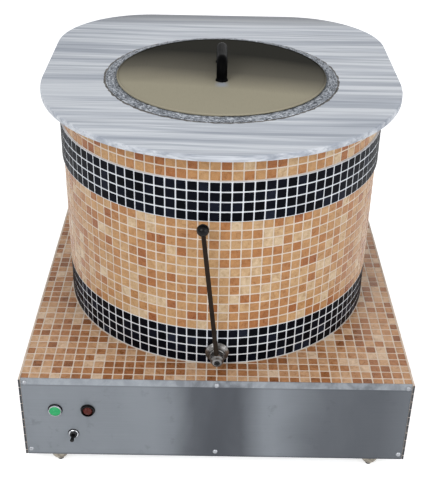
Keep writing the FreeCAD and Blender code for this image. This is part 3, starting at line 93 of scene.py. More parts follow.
Colour = tuple[float, float, float]
Stops = tuple[tuple[float, Colour], ...]
Outline = list[tuple[float, float]]
Profile = list[tuple[float, float, float, float]]


def from_screen(red: int, green: int, blue: int) -> Colour:
    """Turn a colour written as 0 to 255 screen values into scene values.

    Args:
        red: Red as a screen shows it.
        green: Green as a screen shows it.
        blue: Blue as a screen shows it.

    Returns:
        The colour in linear light.
    """
    def channel(value: int) -> float:
        """Undo the screen curve of one channel."""
        share = value / 255
        return share / 12.92 if share <= 0.04045 else ((share + 0.055) / 1.055) ** 2.4
    return channel(red), channel(green), channel(blue)


# ------------------------------------------------------------------ shader graph

class Socket:
    """One output of a shader graph that can be used in a Python expression."""

    def __init__(self, graph: Graph, link: bpy.types.NodeSocket | None) -> None:
        """Wrap an output socket of a graph."""
        self.graph = graph
        self.link = link

    def _math(self, operation: str, first: Value, second: Value) -> Socket:
        """Add one Math node on two values."""
        return self.graph.add("ShaderNodeMath", {"operation": operation}, {0: first, 1: second})

    def __add__(self, other: Value) -> Socket:
        """Sum of two values."""
        return self._math("ADD", self, other)

    def __radd__(self, other: Value) -> Socket:
        """Sum with a plain number first."""
        return self._math("ADD", other, self)

    def __sub__(self, other: Value) -> Socket:
        """Difference of two values."""
        return self._math("SUBTRACT", self, other)

    def __rsub__(self, other: Value) -> Socket:
        """Difference with a plain number first."""
        return self._math("SUBTRACT", other, self)

    def __mul__(self, other: Value) -> Socket:
        """Product of two values."""
        return self._math("MULTIPLY", self, other)

    def __rmul__(self, other: Value) -> Socket:
        """Product with a plain number first."""
        return self._math("MULTIPLY", other, self)


Value = Socket | float | int | Colour | Vector


class Graph:
    """A shader graph in any node tree."""

    def __init__(self, tree: bpy.types.NodeTree) -> None:
        """Start on an emptied tree."""
        self.tree = tree
        self.tree.nodes.clear()

    def add(self, kind: str, settings: dict[str, object] | None = None,
            inputs: dict[str | int, Value] | None = None, output: str | int = 0) -> Socket:
        """Add any node.

        Args:
            kind: The node's type.
            settings: Properties that are set first; "stops" fills a colour ramp.
            inputs: Values or links, by socket name or number.
            output: The output that is returned.

        Returns:
            The node's chosen output.
        """
        node = self.tree.nodes.new(kind)
        for key, value in (settings or {}).items():
            if key == "stops":
                self._fill_ramp(node.color_ramp, value)
            else:
                setattr(node, key, value)
        for key, value in (inputs or {}).items():
            target = node.inputs[key]
            if isinstance(value, Socket):
                self.tree.links.new(value.link, target)
            elif isinstance(value, tuple) and target.type == "RGBA":
                target.default_value = (*value, 1.0)
            else:
                target.default_value = value
        return Socket(self, node.outputs[output] if node.outputs else None)

    @staticmethod
    def _fill_ramp(ramp: bpy.types.ColorRamp, stops: Stops) -> None:
        """Set the stops of a colour ramp.

        Args:
            ramp: The ramp, which starts with two stops.
            stops: Positions and colours, from the lowest on.
        """
        while len(ramp.elements) < len(stops):
            ramp.elements.new(0.5)
        for element, (position, colour) in zip(ramp.elements, stops):
            element.position = position
            element.color = (*colour, 1.0)

    def place(self, scale: tuple[float, float, float] = (1, 1, 1)) -> Socket:
        """The point in the object's own space, in metres, stretched by a scale."""
        spot = self.add("ShaderNodeTexCoord", output="Object")
        return self.add("ShaderNodeMapping", inputs={"Vector": spot, "Scale": Vector(scale)})

    def noise(self, where: Socket, scale: float, detail: float, roughness: float,
              distortion: float = 0.0) -> Socket:
        """A noise value of about 0 to 1.

        Args:
            where: The point it is read at.
            scale: Waves to a unit of that point.
            detail: Number of finer layers.
            roughness: Strength of the finer layers.
            distortion: How far the point is warped.

        Returns:
            The value.
        """
        return self.add("ShaderNodeTexNoise", inputs={
            "Vector": where, "Scale": scale, "Detail": detail, "Roughness": roughness,
            "Distortion": distortion})

    def ramp(self, value: Value, stops: Stops) -> Socket:
        """A colour read from a ramp."""
        return self.add("ShaderNodeValToRGB", {"stops": stops}, {"Fac": value})

    def spread(self, value: Value, low: float, high: float, out_low: float = 0.0,
               out_high: float = 1.0) -> Socket:
        """Map one range of values onto another, held at the ends."""
        return self.add("ShaderNodeMapRange", {"clamp": True}, {
            "Value": value, "From Min": low, "From Max": high, "To Min": out_low, "To Max": out_high})

    def blend(self, share: Value, first: Value, second: Value, mode: str = "MIX") -> Socket:
        """Mix two colours by a share."""
        return self.add("ShaderNodeMix", {"data_type": "RGBA", "blend_type": mode}, {
            "Factor": share, 6: first, 7: second}, output=2)

    def scaled(self, colour: Value, level: Socket) -> Socket:
        """A colour multiplied by a number."""
        grey = self.add("ShaderNodeCombineXYZ", inputs={0: level, 1: level, 2: level})
        return self.blend(1.0, colour, grey, "MULTIPLY")

    def level(self, colour: Socket) -> Socket:
        """The red channel of a grey colour, as a number."""
        return self.add("ShaderNodeSeparateColor", inputs={"Color": colour})

    def axis(self, letter: str) -> Socket:
        """One coordinate of the point in the object's own space."""
        return self.add("ShaderNodeSeparateXYZ", inputs={"Vector": self.place()}, output=letter)

    def tag(self, name: str) -> Socket:
        """A number that the mesh carries on its faces."""
        return self.add("ShaderNodeAttribute", {"attribute_name": name}, output="Fac")

    def bump(self, height: Socket, distance: float, strength: float) -> Socket:
        """A bumped normal from a height of 0 to 1."""
        return self.add("ShaderNodeBump", inputs={
            "Height": height, "Distance": distance, "Strength": strength})


class Surface(Graph):
    """The graph of one material."""

    def __init__(self, name: str) -> None:
        """Start an empty material.

        Args:
            name: The material's name.
        """
        self.material = bpy.data.materials.new(name)
        self.material.use_nodes = True
        super().__init__(self.material.node_tree)

    def finish(self, colour: Value, roughness: Value, metallic: Value = 0.0,
               normal: Socket | None = None, **sockets: Value) -> bpy.types.Material:
        """Close the graph with the surface shader.

        Args:
            colour: Base colour.
            roughness: Roughness.
            metallic: Share of metal.
            normal: Bumped normal, if any.
            sockets: Other plain values, with _ for the spaces of the socket's name.

        Returns:
            The finished material.
        """
        inputs: dict[str | int, Value] = {
            "Base Color": colour, "Roughness": roughness, "Metallic": metallic}
        if normal is not None:
            inputs["Normal"] = normal
        for key, value in sockets.items():
            inputs[key.replace("_", " ")] = value
        shader = self.add("ShaderNodeBsdfPrincipled", inputs=inputs)
        self.add("ShaderNodeOutputMaterial", inputs={"Surface": shader})
        return self.material


# ------------------------------------------------------------------ finishes

@dataclass(frozen=True)
class TileFinish:
    """Glazed tiles, each in its own shade, clouded and flecked like poured glass."""

    name: str
    stops: Stops
    roughness: float = 0.24
    clouding: float = 0.16
    fleck: Colour = from_screen(240, 222, 200)
    flecking: float = 0.2
    gloss: float = 0.25

    def build(self) -> bpy.types.Material:
        """Make the material.

        Returns:
            The tile material.
        """
        graph = Surface(self.name)
        spot = graph.place()
        cloud = graph.noise(spot, 75.0, 4.0, 0.62, 0.8)
        fine = graph.noise(spot, 420.0, 3.0, 0.62, 0.4)
        dots = graph.noise(spot, 900.0, 2.0, 0.6)
        flat = graph.ramp(graph.tag("shade") + graph.spread(cloud, 0.3, 0.7, -0.08, 0.08), self.stops)
        lift = graph.spread(cloud, 0.3, 0.7, 1.0 - self.clouding, 1.0 + self.clouding * 0.6)
        mottled = graph.scaled(flat, lift * graph.spread(fine, 0.3, 0.7, 0.93, 1.06))
        flecked = graph.blend(graph.spread(dots, 0.56, 0.76, 0.0, self.flecking), mottled, self.fleck)
        # Painted shade darkens each tile's sides and bevel.
        edged = graph.blend(graph.tag("edge") * 0.3, flecked,
                            tuple(part * 0.5 for part in self.stops[0][1]))
        rough = graph.spread(cloud, 0.3, 0.7, self.roughness, self.roughness + 0.14)
        return graph.finish(edged, rough, normal=graph.bump(cloud * 0.7 + fine * 0.3, 0.0005, 0.35),
                            Specular_IOR_Level=self.gloss)


@dataclass(frozen=True)
class GroutFinish:
    """Sanded cement grout with a little staining."""

    name: str
    colour: Colour
    stain: Colour

    def build(self) -> bpy.types.Material:
        """Make the material.

        Returns:
            The grout material.
        """
        graph = Surface(self.name)
        spot = graph.place()
        grain = graph.noise(spot, 2600.0, 3.0, 0.7)
        stain = graph.noise(spot, 24.0, 4.0, 0.6)
        colour = graph.blend(graph.spread(stain, 0.45, 0.75, 0.0, 0.55), self.colour, self.stain)
        speckled = graph.blend(graph.spread(grain, 0.5, 0.8, 0.0, 0.3), colour, self.stain)
        return graph.finish(speckled, 0.82, normal=graph.bump(grain, 0.0004, 0.5))


@dataclass(frozen=True)
class MarbleFinish:
    """Honed marble with straight blue-grey streaks along the width, and painted shade along the back
    edge.
    """

    name: str = "streaked_marble"
    white: Colour = from_screen(214, 217, 222)
    pale: Colour = from_screen(200, 204, 210)
    mid: Colour = from_screen(178, 183, 192)
    dark: Colour = from_screen(140, 146, 158)
    shaded_edge: Colour = from_screen(118, 121, 128)

    def build(self) -> bpy.types.Material:
        """Make the material.

        Returns:
            The marble material.
        """
        graph = Surface(self.name)
        drift = graph.noise(graph.place((1.2, 3.5, 1.0)), 1.0, 2.0, 0.5)
        bent = graph.add("ShaderNodeCombineXYZ", inputs={1: drift * 2.2})
        broad = self._streaks(graph, (0.9, 24.0, 24.0), bent, 4.0, 0.25)
        fine = self._streaks(graph, (1.6, 95.0, 95.0), bent, 4.0, 0.3)
        hair = self._streaks(graph, (3.0, 310.0, 310.0), bent, 3.0, 0.2)
        base = graph.ramp(broad, ((0.28, self.dark), (0.42, self.mid), (0.54, self.white),
                                  (0.72, self.pale)))
        veined = graph.blend(graph.spread(fine, 0.48, 0.68, 0.0, 0.75), base, self.dark)
        lined = graph.blend(graph.spread(hair, 0.50, 0.72, 0.0, 0.40), veined, self.dark)
        # Painted shade darkens the back edge.
        back = graph.spread(graph.axis("Y"), 0.34, 0.42, 0.0, 1.0)
        shaded = graph.blend(back, lined, self.shaded_edge)
        grain = graph.noise(graph.place(), 900.0, 2.0, 0.6)
        return graph.finish(shaded, graph.spread(grain, 0.3, 0.7, 0.34, 0.44),
                            normal=graph.bump(grain, 0.0002, 0.15), Specular_IOR_Level=0.12)

    @staticmethod
    def _streaks(graph: Surface, scale: tuple[float, float, float], bent: Socket, detail: float,
                 distortion: float) -> Socket:
        """Noise drawn out along X and gently bent.

        Args:
            graph: The graph that holds it.
            scale: Stretch of the three axes.
            bent: A shift of the point.
            detail: Detail of the noise.
            distortion: Distortion of the noise.

        Returns:
            A value of about 0 to 1.
        """
        where = graph.add("ShaderNodeVectorMath", {"operation": "ADD"}, {0: graph.place(scale), 1: bent})
        return graph.noise(where, 1.0, detail, 0.62, distortion)


@dataclass(frozen=True)
class SheetFinish:
    """Brushed sheet steel, with soft darker bands of painted reflection across the width and a few
    smudges; on the panel, a painted highlight on the top fold and painted shade in its crease and along
    the foot.
    """

    name: str
    colour: Colour
    shaded: Colour
    # Painted reflection: positions across the width and how far each leans to the darker colour.
    bands: tuple[tuple[float, float], ...] = ()
    roughness: float = 0.46
    metallic: float = 0.3
    gloss: float = 0.2
    # Painted highlight on the fold along the top, and painted shade in its crease and along the foot.
    fold: Colour = from_screen(176, 181, 187)
    fold_height: float = 0.0145
    fold_edge: float = 0.0015
    crease_below: float = 0.004
    crease_above: float = 0.001
    foot_height: float = 0.006

    def build(self) -> bpy.types.Material:
        """Make the material.

        Returns:
            The steel material.
        """
        graph = Surface(self.name)
        line = graph.noise(graph.place((7.0, 1900.0, 1900.0)), 1.0, 3.0, 0.65)
        cloud = graph.noise(graph.place((7.0, 4.0, 4.0)), 1.0, 3.0, 0.55, 0.6)
        smudge = graph.noise(graph.place((34.0, 30.0, 30.0)), 1.0, 5.0, 0.62, 0.4)
        share: Value = graph.spread(cloud, 0.35, 0.7, 0.0, 0.3)
        # Painted reflection in bands across the width.
        if self.bands:
            stops = tuple((position, (depth, depth, depth)) for position, depth in self.bands)
            wavering = graph.axis("X") + graph.spread(cloud, 0.3, 0.7, -0.012, 0.012)
            painted_reflection_bands = graph.ramp(graph.spread(wavering, -HALF_BASE, HALF_BASE), stops)
            share = graph.level(painted_reflection_bands) + graph.spread(cloud, 0.3, 0.7, -0.07, 0.07)
        base = graph.blend(share, self.colour, self.shaded)
        brushed = graph.blend(graph.spread(line, 0.35, 0.75, 0.0, 0.16), base, self.shaded)
        marked = graph.blend(graph.spread(smudge, 0.60, 0.76, 0.0, 0.4), brushed, self.shaded)
        if self.bands:
            marked = self._folds(graph, marked, smudge)
        rough = graph.spread(line, 0.3, 0.7, self.roughness - 0.06, self.roughness + 0.1)
        return graph.finish(marked, rough, self.metallic, graph.bump(line, 0.00005, 0.4),
                            Specular_IOR_Level=self.gloss)

    def _folds(self, graph: Surface, colour: Socket, blotches: Socket) -> Socket:
        """Paint a highlight on the fold along the top, and paint shade in its crease and along the lower
        edge.

        Args:
            graph: The graph that holds it.
            colour: The sheet's colour.
            blotches: Noise that breaks the fold up.

        Returns:
            The colour with its folds.
        """
        height = graph.axis("Z")
        crease = DECK_TOP - self.fold_height
        # Painted highlight along the fold.
        fold = graph.spread(height, crease, crease + self.fold_edge, 0.0, 0.6)
        lit = graph.blend(fold * graph.spread(blotches, 0.38, 0.62, 0.35, 1.0), colour, self.fold)
        # Painted shade in the crease below the fold.
        under = (graph.spread(height, crease - self.crease_below, crease)
                 - graph.spread(height, crease, crease + self.crease_above))
        creased = graph.blend(under * 0.35, lit, self.shaded)
        # Painted shade along the lower edge.
        foot = graph.spread(height, BASE_BOTTOM, BASE_BOTTOM + self.foot_height, 0.7, 0.0)
        return graph.blend(foot, creased, tuple(part * 0.8 for part in self.shaded))


@dataclass(frozen=True)
class LidFinish:
    """Polished lid steel, dusty, with painted reflection: light at the near side, dark at the far side,
    and pale at the handle's near foot.
    """

    name: str = "painted_reflection_steel"
    # Colours of the painted reflection, from the near side to the far side, and of its pale spot at the
    # handle.
    near: Colour = from_screen(164, 157, 137)
    middle: Colour = from_screen(104, 100, 90)
    far: Colour = from_screen(54, 53, 49)
    patch: Colour = from_screen(158, 163, 172)
    handle_foot: float = -0.079
    patch_across: tuple[float, float] = (0.005, 0.016)
    patch_along: tuple[float, float] = (0.004, 0.019)

    def build(self) -> bpy.types.Material:
        """Make the material.

        Returns:
            The lid material.
        """
        graph = Surface(self.name)
        wave = graph.noise(graph.place((2.5, 4.0, 3.0)), 1.0, 3.0, 0.5, 0.5)
        # Painted reflection: light at the near side, dark at the far side.
        depth = graph.axis("Y") + graph.axis("X") * 0.16 + wave * 0.10 - 0.05
        base = graph.ramp(graph.spread(depth, -0.2, 0.2), (
            (0.0, self.near), (0.28, self.near), (0.5, self.middle), (0.78, self.far), (1.0, self.far)))
        scratch = graph.noise(graph.place((1700.0, 14.0, 1700.0)), 1.0, 3.0, 0.6, 0.2)
        marked = graph.blend(graph.spread(scratch, 0.5, 0.8, 0.0, 0.12), base, self.far)
        dust = graph.noise(graph.place(), 700.0, 3.0, 0.7)
        dusty = graph.blend(graph.spread(dust, 0.6, 0.82, 0.0, 0.18), marked, self.near)
        across = graph.add("ShaderNodeMath", {"operation": "ABSOLUTE"}, {0: graph.axis("X")})
        along = graph.add("ShaderNodeMath", {"operation": "ABSOLUTE"}, {
            0: graph.axis("Y") - self.handle_foot})
        # Pale painted reflection at the near foot of the handle.
        painted_reflection_mask = (graph.spread(across, *self.patch_across, 0.8, 0.0)
                  * graph.spread(along, *self.patch_along, 1.0, 0.0))
        shown = graph.blend(painted_reflection_mask, dusty, self.patch)
        return graph.finish(shown, graph.spread(wave, 0.3, 0.7, 0.40, 0.50), 0.0,
                            graph.bump(scratch, 0.00003, 0.4), Specular_IOR_Level=0.0)


@dataclass(frozen=True)
class CastFinish:
    """A rough mineral or cast surface with pits, mottling and specks."""

    name: str
    pale: Colour
    dark: Colour
    grain: float = 190.0
    depth: float = 0.0012
    roughness: float = 0.9
    specks: float = 0.35

    def build(self) -> bpy.types.Material:
        """Make the material.

        Returns:
            The cast material.
        """
        graph = Surface(self.name)
        spot = graph.place()
        broad = graph.noise(spot, self.grain * 0.18, 4.0, 0.6, 0.4)
        pits = graph.noise(spot, self.grain, 5.0, 0.68, 0.3)
        fine = graph.noise(spot, self.grain * 5.0, 3.0, 0.7)
        base = graph.blend(graph.spread(broad, 0.35, 0.7), self.pale, self.dark)
        pitted = graph.blend(graph.spread(pits, 0.5, 0.72, 0.0, 0.75), base, self.dark)
        dusted = graph.blend(graph.spread(fine, 0.55, 0.8, 0.0, self.specks), pitted, self.pale)
        return graph.finish(dusted, self.roughness,
                            normal=graph.bump(pits * 0.8 + fine * 0.2, self.depth, 0.7))


@dataclass(frozen=True)
class RingFinish:
    """Trowelled refractory: grey, with black and white specks drawn out round the mouth."""

    name: str = "trowelled_refractory"
    white: Colour = from_screen(216, 220, 226)
    grey: Colour = from_screen(138, 143, 151)
    black: Colour = from_screen(30, 32, 38)
    waves_per_metre: float = 300.0
    waves_per_radian: float = 16.0

    def build(self) -> bpy.types.Material:
        """Make the material.

        Returns:
            The refractory material.
        """
        graph = Surface(self.name)
        spot = graph.place()
        flat = graph.place((1.0, 1.0, 0.0))
        radius = graph.add("ShaderNodeVectorMath", {"operation": "LENGTH"}, {0: flat}, output="Value")
        angle = graph.add("ShaderNodeMath", {"operation": "ARCTAN2"}, {
            0: graph.axis("Y"), 1: graph.axis("X")})
        round_spot = graph.add("ShaderNodeCombineXYZ", inputs={
            0: radius * self.waves_per_metre, 1: angle * self.waves_per_radian,
            2: graph.axis("Z") * self.waves_per_metre})
        trowel = graph.noise(round_spot, 1.0, 4.0, 0.65, 0.6)
        specks = graph.noise(spot, 230.0, 4.0, 0.75)
        clumps = graph.noise(spot, 90.0, 4.0, 0.6, 0.4)
        base = graph.blend(graph.spread(clumps, 0.38, 0.66, 0.0, 0.5), self.grey, self.black)
        drawn = graph.blend(graph.spread(trowel, 0.52, 0.62, 0.0, 0.8), base, self.white)
        lined = graph.blend(graph.spread(trowel, 0.36, 0.46, 0.85, 0.0), drawn, self.black)
        dotted = graph.blend(graph.spread(specks, 0.55, 0.63, 0.0, 0.8), lined, self.white)
        pitted = graph.blend(graph.spread(specks, 0.36, 0.45, 0.85, 0.0), dotted, self.black)
        return graph.finish(pitted, 0.85, normal=graph.bump(specks * 0.5 + trowel * 0.5, 0.0015, 0.6))


@dataclass(frozen=True)
class PlainFinish:
    """A turned, moulded or painted surface with light wear."""

    name: str
    colour: Colour
    worn: Colour
    roughness: float = 0.35
    metallic: float = 0.0
    grain: float = 400.0
    wear: float = 0.6
    gloss: float = 0.5

    def build(self) -> bpy.types.Material:
        """Make the material.

        Returns:
            The material.
        """
        graph = Surface(self.name)
        spot = graph.place()
        cloud = graph.noise(spot, self.grain * 0.2, 4.0, 0.6, 0.5)
        fine = graph.noise(spot, self.grain * 3.0, 2.0, 0.6)
        base = graph.blend(graph.spread(cloud, 0.45, 0.75, 0.0, self.wear), self.colour, self.worn)
        colour = graph.blend(graph.spread(fine, 0.6, 0.85, 0.0, self.wear * 0.5), base, self.worn)
        rough = graph.spread(cloud, 0.3, 0.7, self.roughness, self.roughness + 0.12)
        return graph.finish(colour, rough, self.metallic, graph.bump(fine, 0.00005, 0.3),
                            Specular_IOR_Level=self.gloss)


class Stuff(Enum):
    """Every finish on the oven."""

    WALL_TILE = TileFinish("wall_tile", (
        (0.0, from_screen(148, 84, 40)), (0.22, from_screen(167, 109, 60)),
        (0.46, from_screen(180, 130, 82)), (0.7, from_screen(189, 146, 99)),
        (0.86, from_screen(198, 164, 124)), (1.0, from_screen(208, 184, 152))))
    DECK_TILE = TileFinish("deck_tile", (
        (0.0, from_screen(134, 82, 44)), (0.22, from_screen(160, 104, 62)),
        (0.46, from_screen(180, 130, 88)), (0.7, from_screen(198, 156, 118)),
        (1.0, from_screen(218, 192, 164))))
    DARK_TILE = TileFinish("dark_tile", (
        (0.0, from_screen(4, 5, 9)), (0.35, from_screen(8, 10, 17)),
        (0.7, from_screen(14, 17, 27)), (1.0, from_screen(30, 34, 46))),
        roughness=0.3, fleck=from_screen(44, 50, 68), flecking=0.12, gloss=0.03)
    WALL_GROUT = GroutFinish("wall_grout", from_screen(222, 207, 191), from_screen(198, 178, 158))
    BAND_GROUT = GroutFinish("band_grout", from_screen(226, 229, 234), from_screen(190, 193, 200))
    MARBLE = MarbleFinish()
    # The panel's bands are painted reflection across its width.
    PANEL = SheetFinish("brushed_panel", from_screen(135, 140, 146), from_screen(76, 79, 85), (
        (0.0, 0.12), (0.05, 0.05), (0.33, 0.06), (0.382, 0.30), (0.41, 0.62), (0.434, 0.92),
        (0.50, 1.0), (0.565, 0.92), (0.595, 0.5), (0.625, 0.12), (0.65, 0.06), (0.69, 0.28),
        (0.735, 0.54), (0.784, 0.72), (0.87, 0.82), (0.93, 0.80), (1.0, 0.58)))
    MILL_STEEL = SheetFinish("mill_steel", from_screen(158, 162, 166), from_screen(104, 107, 112))
    LID = LidFinish()
    RING = RingFinish()
    HEARTH = CastFinish("hearth_refractory", from_screen(176, 168, 158), from_screen(112, 104, 96))
    MORTAR = CastFinish("dark_mortar", from_screen(118, 114, 110), from_screen(52, 50, 48), 330.0, 0.001)
    CLAY = CastFinish("fired_clay", from_screen(188, 138, 104), from_screen(134, 88, 60), 90.0, 0.001)
    FIBRE = CastFinish("packed_fibre", from_screen(226, 220, 208), from_screen(196, 188, 174), 240.0,
                       0.002)
    CEMENT = CastFinish("cement_sheet", from_screen(160, 158, 152), from_screen(122, 120, 114), 160.0,
                        0.0006)
    IRON = CastFinish("cast_iron", from_screen(62, 60, 58), from_screen(34, 33, 32), 260.0, 0.0008, 0.7)
    FRAME_PAINT = PlainFinish("frame_paint", from_screen(122, 124, 128), from_screen(88, 86, 84), 0.5)
    FOOT = PlainFinish("worn_foot", from_screen(164, 156, 142), from_screen(66, 58, 50), 0.4, 0.4,
                       420.0, 0.9)
    RUBBER = PlainFinish("black_rubber", from_screen(20, 20, 21), from_screen(44, 43, 42), 0.75,
                         gloss=0.2)
    # A dark strip that stands in for shade at the side tiles' front ends.
    SHADE_STRIP = PlainFinish("painted_shade_strip", from_screen(64, 67, 73), from_screen(112, 108, 104), 0.6, gloss=0.2)
    BRIGHT = PlainFinish("bright_steel", from_screen(196, 198, 203), from_screen(132, 134, 140), 0.18,
                         1.0)
    SCREW = PlainFinish("screw_steel", from_screen(160, 163, 168), from_screen(104, 106, 112), 0.3, 0.9)
    BLACK = PlainFinish("black_enamel", from_screen(11, 11, 13), from_screen(30, 30, 32), 0.26,
                        gloss=0.2)
    KNOB = PlainFinish("black_ball", from_screen(10, 10, 12), from_screen(18, 18, 21), 0.1, gloss=0.15)
    HANDLE = PlainFinish("black_grip", from_screen(7, 7, 8), from_screen(20, 20, 19), 0.3,
                         grain=160.0, wear=0.4, gloss=0.01)
    DARK_CHROME = PlainFinish("dark_chrome", from_screen(44, 42, 42), from_screen(24, 22, 22), 0.2, 0.9)
    BOSS = PlainFinish("turned_boss", from_screen(124, 122, 121), from_screen(46, 43, 41), 0.2, 0.95,
                       200.0, 0.95)
    LEVER = PlainFinish("dark_bar", from_screen(40, 32, 26), from_screen(20, 16, 14), 0.34, 0.3, 120.0,
                        gloss=0.06)
    BRASS = PlainFinish("valve_brass", from_screen(196, 164, 96), from_screen(140, 112, 64), 0.3, 0.95)
    PIPE = PlainFinish("pipe_steel", from_screen(160, 162, 164), from_screen(112, 112, 114), 0.34, 0.9)
    CHINA = PlainFinish("glazed_ceramic", from_screen(236, 230, 218), from_screen(210, 200, 186), 0.2)
    GREEN = PlainFinish("green_cap", from_screen(28, 160, 94), from_screen(112, 200, 152), 0.3,
                        grain=700.0, wear=0.45, gloss=0.3)
    RED_LENS = PlainFinish("red_lens", from_screen(80, 28, 22), from_screen(122, 70, 60), 0.16,
                           grain=900.0, wear=0.4, gloss=0.12)


# ------------------------------------------------------------------ workshop

@dataclass
class Workshop:
    """Makes each material once, dresses the CAD nodes and turns meshes into pieces."""

    nodes: dict[str, bpy.types.Object]
    made: dict[Stuff, bpy.types.Material] = field(default_factory=dict)

    def material(self, stuff: Stuff) -> bpy.types.Material:
        """The material of a finish, made when it is first asked for.

        Args:
            stuff: The finish.

        Returns:
            Its material.
        """
        if stuff not in self.made:
            self.made[stuff] = stuff.value.build()
        return self.made[stuff]

    def dress(self, stuff: Stuff, *names: str) -> None:
        """Give CAD nodes a finish.

        Args:
            stuff: Their finish.
            names: The nodes to dress.
        """
        for name in names:
            data = self.nodes[name].data
            data.materials.clear()
            data.materials.append(self.material(stuff))
            data.shade_smooth()
            data.set_sharp_from_angle(angle=math.radians(SMOOTH_ANGLE))
            LOG.info("%s: dressed with %s", name, stuff.value.name)

    def piece(self, name: str, mesh: bmesh.types.BMesh, stuff: Stuff, slot: str,
              body: str = "oven", smooth_angle: float = SMOOTH_ANGLE) -> bpy.types.Object:
        """Turn a mesh into an object of the scene that rides on a body.

        Args:
            name: The piece's name.
            mesh: The finished mesh, which is freed.
            stuff: Its finish.
            slot: The record's material slot; not used.
            body: The CAD body that carries it.
            smooth_angle: Edges that turn by less than this are shaded smooth, in degrees.

        Returns:
            The new object.
        """
        data = bpy.data.meshes.new(name)
        bmesh.ops.recalc_face_normals(mesh, faces=mesh.faces)
        mesh.to_mesh(data)
        mesh.free()
        data.materials.append(self.material(stuff))
        data.shade_smooth()
        data.set_sharp_from_angle(angle=math.radians(smooth_angle))
        piece = bpy.data.objects.new(name, data)
        bpy.context.scene.collection.objects.link(piece)
        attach(piece, body)
        LOG.info("%s: %d faces on %s", name, len(data.polygons), body)
        return piece


def arc(start: tuple[float, float], end: tuple[float, float], radius: float, steps: int) -> Outline:
    """Points of an arc that bulges away from the axis, without the first one.

    Args:
        start: Radius and height where the arc starts.
        end: Radius and height where it ends.
        radius: Its own radius.
        steps: Number of chords.

    Returns:
        The points after the start, up to the end.
    """
    chord = Vector(end) - Vector(start)
    side = Vector((chord.y, -chord.x)).normalized()
    if side.x <= 0:
        side.negate()
    drop = math.sqrt(radius ** 2 - (chord.length / 2) ** 2)
    centre = Vector(start) + chord / 2 - side * drop
    first = Vector(start) - centre
    turn = first.angle_signed(Vector(end) - centre)
    points = []
    for step in range(1, steps + 1):
        angle = -turn * step / steps
        points.append((centre.x + first.x * math.cos(angle) - first.y * math.sin(angle),
                       centre.y + first.x * math.sin(angle) + first.y * math.cos(angle)))
    return points


def lathe(mesh: bmesh.types.BMesh, outline: Outline, steps: int, place: Matrix | None = None) -> None:
    """Turn an outline of (radius, height) points about the local Z axis.

    Args:
        mesh: The mesh that receives the surface.
        outline: Points from one end to the other; a radius of 0 closes with a pole.
        steps: Steps round the axis.
        place: Where the turned piece goes.
    """
    place = place or Matrix.Identity(4)
    rings: list[list[bmesh.types.BMVert]] = []
    for radius, height in outline:
        count = 1 if radius < POLE_RADIUS else steps
        rings.append([mesh.verts.new(place @ Vector((radius * math.cos(math.tau * step / steps),
                                                     radius * math.sin(math.tau * step / steps),
                                                     height))) for step in range(count)])
    closed = outline[0] == outline[-1]
    if closed:
        for vert in rings.pop():
            mesh.verts.remove(vert)
        rings.append(rings[0])
    for lower, upper in zip(rings, rings[1:]):
        for step in range(steps):
            after = (step + 1) % steps
            corners = [lower[step % len(lower)], lower[after % len(lower)],
                       upper[after % len(upper)], upper[step % len(upper)]]
            mesh.faces.new(list(dict.fromkeys(corners)))


def towards_front(x: float, y: float, z: float) -> Matrix:
    """The place of a turned piece whose own Z axis points out of the panel."""
    return Matrix.Translation((x, y, z)) @ Matrix.Rotation(math.radians(90), 4, "X")


def roughness_at(spot: Vector, scale: float) -> float:
    """A fractal value of 0 to 1 at a point."""
    return min(1.0, max(0.0, 0.5 + 0.75 * noise.fractal(spot * scale, 0.9, 2.1, 4)))


def angle_is_chipped(angle: float, chips: tuple[float, ...], reach: float = 2.4) -> bool:
    """Whether an angle in radians lies on one of the chips, given in degrees."""
    turned = math.degrees(angle)
    return any(abs((turned - chip + 180) % 360 - 180) < reach for chip in chips)


# ------------------------------------------------------------------ mosaic

